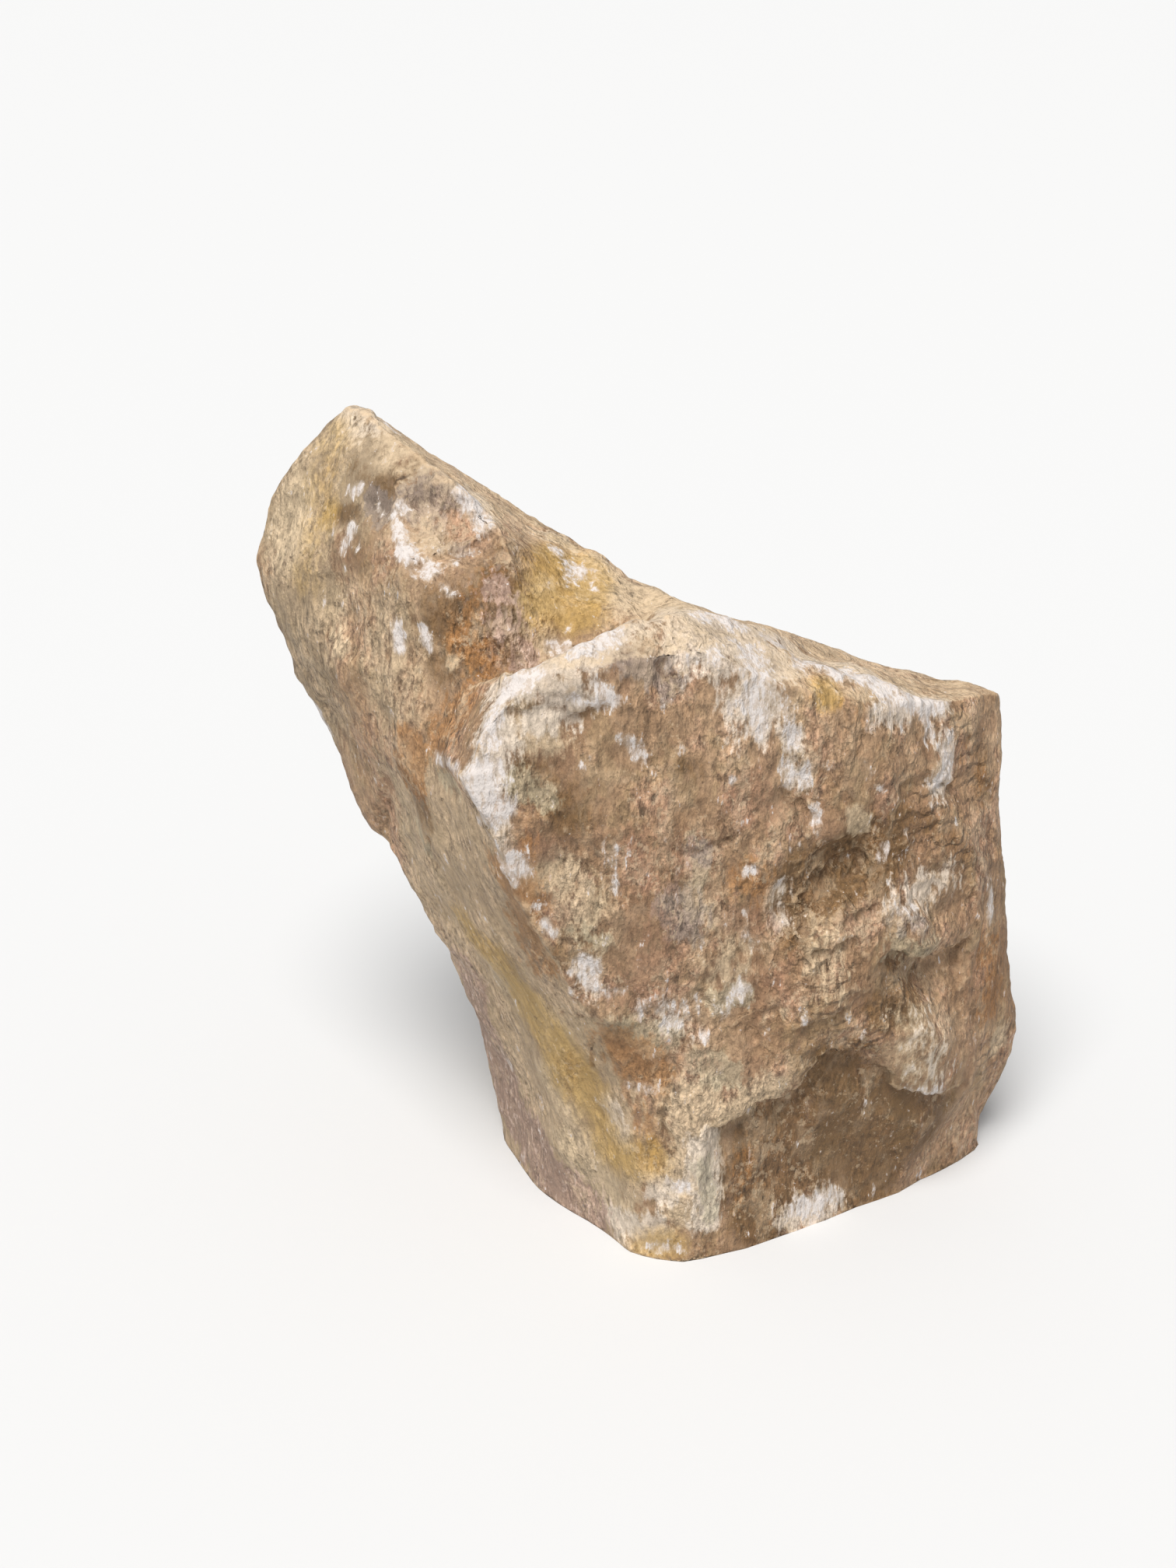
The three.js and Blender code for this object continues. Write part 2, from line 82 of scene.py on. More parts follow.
def colour(code):
    # screen colour code to a linear colour, by the screen's own curve
    parts = [int(code[i:i + 2], 16) / 255 for i in (0, 2, 4)]
    return [((p + 0.055) / 1.055) ** 2.4 if p > 0.04 else p / 12.92 for p in parts] + [1.0]


def added(name, data):
    thing = bpy.data.objects.new(name, data)
    bpy.context.scene.collection.objects.link(thing)
    return thing


def addCamera():
    data = bpy.data.cameras.new("camera")
    data.lens = view["lens"]
    data.sensor_width = view["sensor"]
    camera = added("camera", data)
    down = math.radians(view["lookDown"])
    x, y, z = view["target"]
    back = view["distance"]
    camera.location = (x * mm, (y - back * math.cos(down)) * mm, (z + back * math.sin(down)) * mm)
    camera.rotation_euler = (math.pi / 2 - down, 0, 0)
    bpy.context.scene.camera = camera


def addLight():
    # an even sky, and one broad soft light from above the left shoulder of the camera
    world = bpy.data.worlds.new("studio")
    world.use_nodes = True
    sky = world.node_tree.nodes["Background"]
    sky.inputs["Color"].default_value = (*studio["skyColour"], 1)
    sky.inputs["Strength"].default_value = studio["skyStrength"]
    bpy.context.scene.world = world

    data = bpy.data.lights.new("softLight", "SUN")
    data.energy = studio["sunStrength"]
    data.color = studio["sunColour"]
    data.angle = math.radians(studio["sunSpread"])
    lamp = added("softLight", data)
    x, y, z = studio["sunFrom"]
    lamp.rotation_euler = (math.atan2(math.hypot(x, y), z), 0, math.atan2(x, -y))


def addFloor():
    half = studio["floorSize"] / 2 * mm
    mesh = bpy.data.meshes.new("floor")
    corners = [(-half, -half, 0), (half, -half, 0), (half, half, 0), (-half, half, 0)]
    mesh.from_pydata(corners, [], [(0, 1, 2, 3)])
    floor = added("floor", mesh)
    paper = bpy.data.materials.new("palePaper")
    paper.use_nodes = True
    shader = paper.node_tree.nodes["Principled BSDF"]
    shader.inputs["Base Color"].default_value = colour(studio["floorColour"])
    shader.inputs["Roughness"].default_value = studio["floorRoughness"]
    shader.inputs["Specular IOR Level"].default_value = studio["floorGloss"]
    mesh.materials.append(paper)


bpy.context.scene.view_settings.view_transform = "Standard"
addCamera()
addLight()
addFloor()
print("camera, light and floor are in place")


def scramble(cell, salt):
    # a fixed random number, 0 to 1, for each whole-number cell: its three numbers mixed bit by bit
    n = (cell[:, 0] * 73856093) ^ (cell[:, 1] * 19349663) ^ (cell[:, 2] * 83492791) ^ (salt * 40503001)
    n = n & 0xFFFFFFFF
    n = ((n ^ (n >> 15)) * 739982445) & 0xFFFFFFFF
    n = ((n ^ (n >> 12)) * 695872825) & 0xFFFFFFFF
    return (n ^ (n >> 15)) / 4294967296.0


def swell(p, salt):
    # gradient noise, about -1 to 1: the random slopes of the eight cell corners round a point, blended
    # smoothly
    base = np.floor(p).astype(np.int64)
    part = p - base
    blend = part ** 3 * (part * (part * 6 - 15) + 10)
    total = np.zeros(len(p))
    for corner in np.ndindex(2, 2, 2):
        slope = np.stack([scramble(base + corner, salt * 7 + k) for k in range(3)], 1) * 2 - 1
        weight = np.prod(np.where(corner, blend, 1 - blend), axis=1)
        total += weight * ((part - corner) * slope).sum(1)
    return total * 1.5


def layered(p, salt, layers=3, keep=0.5):
    # noise over noise: each layer is half as long as the last and keeps a share of its height
    return sum(swell(p * 2 ** i, salt + i) * keep ** i for i in range(layers))


def drift(p, salts, layers):
    # three noises side by side, as a way to shift each point
    return np.stack([layered(p / 5, salt, layers) for salt in salts], 1)


def scallops(p, salt, tilt=0.7, middle=0.35):
    # shell-like bowls between sharp crests: the lowest of the bowls round scattered centres, less their
    # middle height. A bowl is the squared way from its centre plus a random slope times that way.
    base = np.floor(p).astype(np.int64)
    lowest = np.full(len(p), 1e9)
    for corner in np.ndindex(3, 3, 3):
        cell = base + corner - 1
        centre = cell + 0.1 + 0.8 * np.stack([scramble(cell, salt * 7 + k) for k in range(3)], 1)
        slope = np.stack([scramble(cell, salt * 7 + k) for k in (3, 4, 5)], 1) * 2 - 1
        away = p - centre
        lowest = np.minimum(lowest, (away * (away + slope * tilt)).sum(1))
    return lowest - middle


def ease(t):
    # 1 at 0, falling smoothly to 0 at 1
    t = np.clip(1 - t, 0, 1)
    return t * t * (3 - 2 * t)


def rising(value, start, reach):
    # 0 at the start, rising smoothly to 1 over the reach
    return 1 - ease((value - start) / reach)


def torn(p, upward, pitch, salt, fall=0.34):
    # broken ledges, 0 to 1: going up the surface it leans out slowly and steps back sharply over the last
    # part of each pitch, and noise bends and breaks the steps
    bend = layered(p / (pitch * 1.9), salt, 3, 0.6)
    step = p @ np.array(upward) / pitch + bend * 1.5
    part = step - np.floor(step)
    return np.where(part < 1 - fall, part / (1 - fall), ease((part - 1 + fall) / fall))


def pathDistance(points, path):
    # distance from each point to a broken line: the least of the distances to its straight stretches
    path = np.array(path, float)
    least = np.linalg.norm(points - path[0], axis=1)
    for a, b in zip(path[:-1], path[1:]):
        along = np.clip((points - a) @ (b - a) / max((b - a) @ (b - a), 1e-9), 0, 1)
        least = np.minimum(least, np.linalg.norm(points - a - along[:, None] * (b - a), axis=1))
    return least


def alongPath(points, normals, path):
    # for each point: its distance to a broken line, where along the line that is, from 0 to 1, and on which
    # side it lies, +1 to the right of the way along the line as seen from outside
    path = np.array(path, float)
    lengths = np.linalg.norm(np.diff(path, axis=0), axis=1)
    starts = np.concatenate([[0], np.cumsum(lengths)]) / lengths.sum()
    least = np.full(len(points), 1e9)
    share = np.zeros(len(points))
    side = np.zeros(len(points))
    for k, (a, b) in enumerate(zip(path[:-1], path[1:])):
        along = np.clip((points - a) @ (b - a) / ((b - a) @ (b - a)), 0, 1)
        away = points - a - along[:, None] * (b - a)
        distance = np.linalg.norm(away, axis=1)
        closer = distance < least
        turn = -(np.cross(b - a, away) * normals).sum(1)
        least = np.where(closer, distance, least)
        share = np.where(closer, starts[k] + along * (starts[k + 1] - starts[k]), share)
        side = np.where(closer, np.sign(turn), side)
    return least, share, side


def gathered(index, values, count):
    # sum of the rows that share an index
    return np.stack([np.bincount(index, values[:, k], count) for k in range(values.shape[1])], 1)


def unit(rows):
    # each row over its length
    return rows / np.maximum(np.linalg.norm(rows, axis=1), 1e-12)[:, None]


def faceNormals(points, faces):
    # each face's normal and area, from the cross product of two of its sides
    a, b, c = (points[faces[:, k]] for k in range(3))
    cross = np.cross(b - a, c - a)
    return unit(cross), np.linalg.norm(cross, axis=1) / 2


def pointNormals(points, faces):
    # the mean of the normals round each point, each counting as much as its face is large
    normal, area = faceNormals(points, faces)
    total = sum(gathered(faces[:, k], normal * area[:, None], len(points)) for k in range(3))
    return unit(total)


def facesAt(points, faces):
    # how many faces meet at each point
    return np.bincount(faces.reshape(-1), minlength=len(points))[:, None]


def middlesRound(points, faces):
    # the mean of the middles of the faces round each point
    centre = points[faces].mean(1)
    return sum(gathered(faces[:, k], centre, len(points)) for k in range(3)) / facesAt(points, faces)


def faceSides(faces):
    # the three sides of each face as pairs of points, the lower number first
    return np.sort(faces[:, [0, 1, 1, 2, 2, 0]].reshape(-1, 2), axis=1)


def keptLevel(points, onBase):
    # the base stays flat and the rest above it
    points[:, 2] = np.where(onBase, 0, np.maximum(points[:, 2], leastRise))
    return points


def mergedCopy(node):
    # the solid's own triangles as points in mm and faces that share them
    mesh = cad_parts[node].data
    flat = np.empty(len(mesh.vertices) * 3, np.float32)
    mesh.vertices.foreach_get("co", flat)
    mesh.calc_loop_triangles()
    faces = np.empty(len(mesh.loop_triangles) * 3, np.int32)
    mesh.loop_triangles.foreach_get("vertices", faces)
    rounded = np.round(flat.reshape(-1, 3).astype(float) / mm, 3)
    points, place = np.unique(rounded, axis=0, return_inverse=True)
    faces = place.reshape(-1)[faces].reshape(-1, 3)
    whole = (faces[:, 0] != faces[:, 1]) & (faces[:, 1] != faces[:, 2]) & (faces[:, 0] != faces[:, 2])
    return points, faces[whole]


def longestEdge(p, scale):
    # the longest edge allowed at each point: it grows from front to back, and more in the base
    start, reach = stone["behind"]
    behind = np.clip((p[:, 1] - start) / reach, 0, 1)
    edge = (stone["edgeFront"] + behind * (stone["edgeBack"] - stone["edgeFront"])) * scale
    return np.where(p[:, 2] == 0, np.maximum(edge, stone["edgeBase"]), edge)


def splitEdges(points, faces, scale):
    # every edge longer than it may be is cut at its middle, so a triangle becomes two, three or four
    edges, place = np.unique(faceSides(faces), axis=0, return_inverse=True)
    ends = points[edges]
    middles = ends.mean(1)
    cut = np.linalg.norm(ends[:, 0] - ends[:, 1], axis=1) > longestEdge(middles, scale)
    fresh = np.full(len(edges), -1)
    fresh[cut] = len(points) + np.arange(cut.sum())
    mids = fresh[place.reshape(-1)].reshape(-1, 3)
    isCut = mids >= 0
    count = isCut.sum(1)
    # turn each triangle so that its first edge is cut and, of two, the last one isn't
    turn = np.where(count == 2, (np.argmin(isCut, 1) + 1) % 3, np.argmax(isCut, 1))
    order = (turn[:, None] + np.arange(3)) % 3
    a, b, c = np.take_along_axis(faces, order, 1).T
    ab, bc, ca = np.take_along_axis(mids, order, 1).T

    def triangles(keep, *corners):
        return np.stack([corner[keep] for corner in corners], 1)

    one, two, three = count == 1, count == 2, count == 3
    parts = [
        faces[count == 0],
        triangles(one, a, ab, c), triangles(one, ab, b, c),
        triangles(two, ab, b, bc), triangles(two, a, ab, bc), triangles(two, a, bc, c),
        triangles(three, a, ab, ca), triangles(three, ab, b, bc),
        triangles(three, ca, bc, c), triangles(three, ab, bc, ca),
    ]
    return np.concatenate([points, middles[cut]]), np.concatenate(parts)


def settled(points, faces, rounds, moves):
    # flattens ripples and keeps arrises: each face's normal is averaged with those of its neighbours that
    # nearly agree with it, then each point moves onto the planes of its faces
    sides = faceSides(faces)
    key = sides[:, 0].astype(np.int64) * len(points) + sides[:, 1]
    left, right = (np.argsort(key, kind="stable") // 3).reshape(-1, 2).T
    normal, area = faceNormals(points, faces)
    sharp = stone["sharp"]
    for _ in range(rounds):
        alike = np.clip(((normal[left] * normal[right]).sum(1) - sharp) / (1 - sharp), 0, 1) ** 2
        total = normal * area[:, None]
        total += gathered(left, normal[right] * (alike * area[right])[:, None], len(faces))
        total += gathered(right, normal[left] * (alike * area[left])[:, None], len(faces))
        normal = unit(total)
    onBase = points[:, 2] < baseBelow
    count = facesAt(points, faces)
    points = points.copy()
    for _ in range(moves):
        centre = points[faces].mean(1)
        shift = np.zeros_like(points)
        for k in range(3):
            off = ((centre - points[faces[:, k]]) * normal).sum(1)[:, None] * normal
            shift += gathered(faces[:, k], off, len(points))
        points = keptLevel(points + shift / count, onBase)
    return points


def evened(points, faces, rounds=2, slide=0.6):
    # slides each point along the surface, part of the way to the middle of its neighbours, so that triangles
    # are alike
    onBase = points[:, 2] < baseBelow
    for _ in range(rounds):
        normal = pointNormals(points, faces)
        shift = (middlesRound(points, faces) - points) * slide
        shift -= (shift * normal).sum(1)[:, None] * normal
        shift[onBase] = 0
        points = points + shift
    return points


# The stone: sizes in mm.
stone = {
    "edgeFront": 1.0,           # longest edge of the fine mesh, in front, behind and in the base
    "edgeBack": 1.9,
    "edgeBase": 4,
    "behind": (5, 20),          # how far back the edges start to grow, and over what way
    "cuts": ((2.4, 5), (1.5, 4), (1.0, 4)),     # rounds of cutting: edge against the longest, smoothing
    "sharp": 0.62,              # an arris is kept where the cosine across it is less than this
    "bigBowl": (10.0, 0.9),     # size and height of broken bowls
    "smallBowl": (5.0, 0.6),
    "pit": (2.6, 0.32),
    "bowlTall": 0.65,           # their scale along the upright, so that they are taller than wide
    "swell": (14, 0.5),
    "grain": (2.4, 0.22),
    "fibre": (1.7, 8.0, 0.3),   # width, length and height
    "bigLedge": (8.0, 0.6),     # spacing and height of torn ledges
    "smallLedge": (3.6, 0.4),
    "ledgeUp": (-0.38, 0.1, 0.92),  # the way up across the ledges
    "ledgeCalm": 0.12,          # what is left of them where the stone isn't rough
    "calmTo": 0.55,             # what is left of the relief on the calm faces
    "roughTo": 1.7,             # and how much it grows on the rough ones
    "wander": 1.1,              # how far noise bends the listed forms
    "lip": 1.6,                 # width of a listed ledge's step
    "taper": 0.15,              # share of a ledge's line over which each end fades
    "wallTop": (88, 14),        # the left wall ends over these heights
    "wallLeft": (-48, 6),       # and starts over this way from the left
}

# Forms, listed: two sizes in mm, then the places that the form runs through. A place is a pixel of the
# view's frame, across and down, and stands for the point of the stone seen there.
forms = {
    # lines where two faces meet sharply: height and width
    "crest": [
        (0.9, 3, (660, 870), (758, 833), (806, 811), (900, 788), (962, 808), (1002, 841),
         (1098, 874), (1204, 908)),
        (0.8, 3, (660, 870), (608, 886), (560, 970), (602, 1003)),
        (0.9, 3, (602, 1003), (637, 1087), (655, 1123), (703, 1213), (742, 1283), (803, 1321)),
        (0.9, 3, (900, 1346), (898, 1451), (895, 1561)),
        (0.9, 3, (458, 527), (505, 558), (563, 612), (602, 641), (633, 673)),
        (0.8, 2.6, (510, 600), (520, 730), (512, 800), (500, 900)),
        (0.9, 2.6, (650, 700), (660, 760), (657, 830)),
        (0.9, 2.6, (1208, 912), (1207, 950), (1195, 1010)),
        (0.9, 2.6, (1252, 1112), (1256, 1188), (1250, 1225), (1240, 1301), (1246, 1389)),
    ],
    # steps down to the right of the line as it runs: drop, and how far the step fades
    "ledge": [
        (1.6, 9, (1032, 1233), (1026, 1190), (1026, 1149), (1056, 1121), (1093, 1100), (1130, 1087)),
        (0.9, 5, (1143, 1104), (1179, 1080), (1213, 1053)),
        (1.2, 8, (1145, 1342), (1135, 1295), (1138, 1257)),
        (1.9, 7, (1148, 1222), (1173, 1234), (1202, 1234), (1236, 1217), (1250, 1196)),
        (2.6, 12, (900, 1455), (945, 1443), (976, 1427), (1009, 1418), (1039, 1385), (1055, 1362),
         (1102, 1358), (1131, 1341)),
        (1.8, 9, (1127, 1360), (1152, 1402), (1194, 1412), (1244, 1395)),
        (0.5, 5, (392, 740), (430, 737), (490, 720), (520, 690)),
        (1.1, 5, (515, 730), (560, 705), (590, 702), (650, 690)),
        (0.8, 4, (850, 1085), (900, 1090), (950, 1075)),
        (1, 5, (1000, 1010), (1040, 1030), (1060, 1060)),
        (1, 5, (1080, 1190), (1110, 1170), (1135, 1160)),
        (1.2, 5, (1040, 1230), (1075, 1225), (1110, 1205)),
        (1, 5, (1020, 1330), (1060, 1310), (1100, 1300)),
        (1, 5, (940, 1330), (980, 1300), (1010, 1290)),
        (0.9, 5, (1150, 1010), (1190, 1000), (1240, 1010)),
        (1, 5, (700, 905), (740, 925), (790, 905)), (0.8, 4, (640, 930), (700, 900), (760, 890)),
        (0.7, 4, (810, 950), (850, 985), (840, 1030)),
        (0.7, 4, (700, 1020), (730, 1060), (700, 1090)),
    ],
    # bowls knocked out of the surface: depth and radius
    "bowl": [
        (2.2, 7, (558, 668)), (1.8, 6, (600, 680)), (1.3, 6, (1215, 1250)),
        (0.9, 5, (880, 860)), (0.8, 4, (490, 650)), (1, 5, (745, 925)),
        (0.9, 6, (690, 1010)), (2.2, 7, (1086, 1118)), (1.8, 6, (1040, 1162)),
        (0.9, 5, (1010, 1190)), (0.8, 5, (1090, 1240)), (0.8, 6, (450, 810)),
        (0.8, 6, (600, 810)), (0.8, 6, (430, 930)), (0.8, 8, (740, 1400)),
    ],
    # cracks: depth and width
    "crack": [
        (0.9, 0.9, (862, 1395), (854, 1440), (862, 1482)), (0.6, 0.8, (760, 1345), (763, 1375)),
        (0.9, 1, (548, 1078), (552, 1100), (560, 1122)),
        (0.7, 0.9, (505, 622), (530, 607), (553, 595)),
        (0.7, 0.9, (800, 836), (816, 829), (857, 850), (862, 866)),
        (0.6, 0.8, (915, 1085), (935, 1080), (952, 1068)), (0.7, 0.8, (1242, 1164), (1254, 1140)),
        (0.7, 0.9, (565, 690), (585, 680)), (0.6, 0.8, (690, 1400), (700, 1430)),
        (0.6, 0.8, (870, 1150), (878, 1172)), (0.6, 0.8, (925, 1060), (930, 1085)),
        (0.5, 0.8, (1150, 1480), (1156, 1510)),
    ],
}

# Where the breaks are rough, calm or fibrous: radius, strength and places.
zones = {
    "rough": [
        (18, 0.6, (940, 1320), (1010, 1250), (1080, 1180), (1150, 1100), (1240, 1000)),
        (16, 0.7, (1060, 1320), (1120, 1240), (1200, 1180), (1245, 1120)),
        (12, 0.8, (1080, 960), (1180, 960), (1240, 930)), (8, 0.8, (1000, 1400), (940, 1440)),
    ],
    "calm": [
        (14, 1, (1000, 1500), (1100, 1450), (1200, 1440)),
        (14, 1, (620, 1150), (680, 1280), (720, 1400), (790, 1500)),
        (12, 0.8, (650, 1400), (700, 1500)), (14, 0.8, (400, 640), (450, 600), (470, 660)),
        (10, 0.5, (480, 1000), (560, 1040)),
    ],
    "fibrous": [
        (14, 0.9, (436, 810), (430, 900), (500, 1000)), (14, 1, (560, 780), (600, 850)),
        (16, 1, (600, 1080), (640, 1200), (700, 1330), (760, 1480)),
        (12, 0.8, (940, 1500), (1000, 1500), (1150, 1500)), (10, 0.6, (1150, 930), (1070, 940)),
        (12, 0.6, (800, 830), (700, 722)),
    ],
}


def stonePoints():
    # the solid's own mesh, cut finer in rounds, with its ripples flattened and its triangles evened out
    points, faces = mergedCopy("calcite_stone")
    points = settled(points, faces, rounds=2, moves=6)
    for scale, smoothing in stone["cuts"]:
        points, faces = splitEdges(points, faces, scale)
        points = settled(points, faces, rounds=smoothing, moves=8)
        points = evened(points, faces)
    points, faces = splitEdges(points, faces, 1.0)
    points = settled(points, faces, rounds=2, moves=6)
    print("stone mesh:", len(points), "points,", len(faces), "triangles")
    return points, faces


def field(points, rows, fade=1.6):
    # strength at each point: the greatest of the lines', each fading out smoothly past its radius
    total = np.zeros(len(points))
    for radius, strength, path in rows:
        total = np.maximum(total, strength * ease(pathDistance(points, path) / (fade * radius)))
    return total


def formed(points, normals, shapes):
    # height of the listed forms, in mm. A crest is a tent on its line. A ledge sinks one side of its line at
    # once and comes back over its reach. A bowl is one less the square of the way from its middle. A crack
    # is a narrow trough. Noise bends them all, and ledges taper at their ends.
    ragged = layered(points / 3.2, 81, 3, 0.6)
    wander = points + drift(points, (33, 43, 53), 2) * stone["wander"]
    push = np.zeros(len(points))
    for height, width, path in shapes["crest"]:
        near = np.clip(1 - pathDistance(wander, path) / width, 0, 1)
        push += height * near * (0.75 + 0.5 * ragged)
    for drop, reach, path in shapes["ledge"]:
        distance, share, side = alongPath(wander, normals, path)
        past = side * distance + ragged * 0.9
        taper = rising(share, 0, stone["taper"]) * rising(1 - share, 0, stone["taper"])
        push -= drop * rising(past, -stone["lip"] / 2, stone["lip"]) * ease(distance / reach) * taper
    for depth, radius, path in shapes["bowl"]:
        distance = np.linalg.norm(wander - path[0], axis=1) / radius + ragged * 0.12
        push -= depth * np.clip(1 - distance ** 2, 0, 1)
    for depth, width, path in shapes["crack"]:
        push -= depth * ease(pathDistance(wander, path) / width)
    return push


def relief(points, areas):
    # height of the broken surface over the plain form, in mm: bowls, torn ledges, fibres and grain, with the
    # calm faces lowered and the rough ones raised. Broad noise makes bowls and ledges come in patches.
    rough, calm, fibrous = (field(points, areas[name]) for name in ("rough", "calm", "fibrous"))
    warp = drift(points, (31, 41, 51), 3)
    size, height = stone["swell"]
    push = layered(points / size, 65, 2) * height
    for name, salt, bend in (("bigBowl", 3, 2.2), ("smallBowl", 5, 1.2), ("pit", 7, 0.6)):
        size, height = stone[name]
        patchy = 0.6 + 0.7 * swell(points / (size * 2.2), salt + 60)
        push += scallops((points + warp * bend) / size * [1, 1, stone["bowlTall"]], salt) * height * patchy
    for name, salt in (("bigLedge", 12), ("smallLedge", 14)):
        pitch, height = stone[name]
        patchy = np.clip(0.45 + 0.9 * swell(points / (pitch * 1.7), salt + 60), 0, 1)
        step = torn(points, stone["ledgeUp"], pitch, salt) - 0.5
        push += step * height * patchy * (stone["ledgeCalm"] + (1 - stone["ledgeCalm"]) * rough)
    size, height = stone["grain"]
    push += layered(points / size, 61, 2) * height
    width, length, height = stone["fibre"]
    push += layered(points / [width, width, length], 71, 2) * height * (0.3 + 0.7 * fibrous)
    return push * (1 + (stone["roughTo"] - 1) * rough) * (1 - (1 - stone["calmTo"]) * calm)
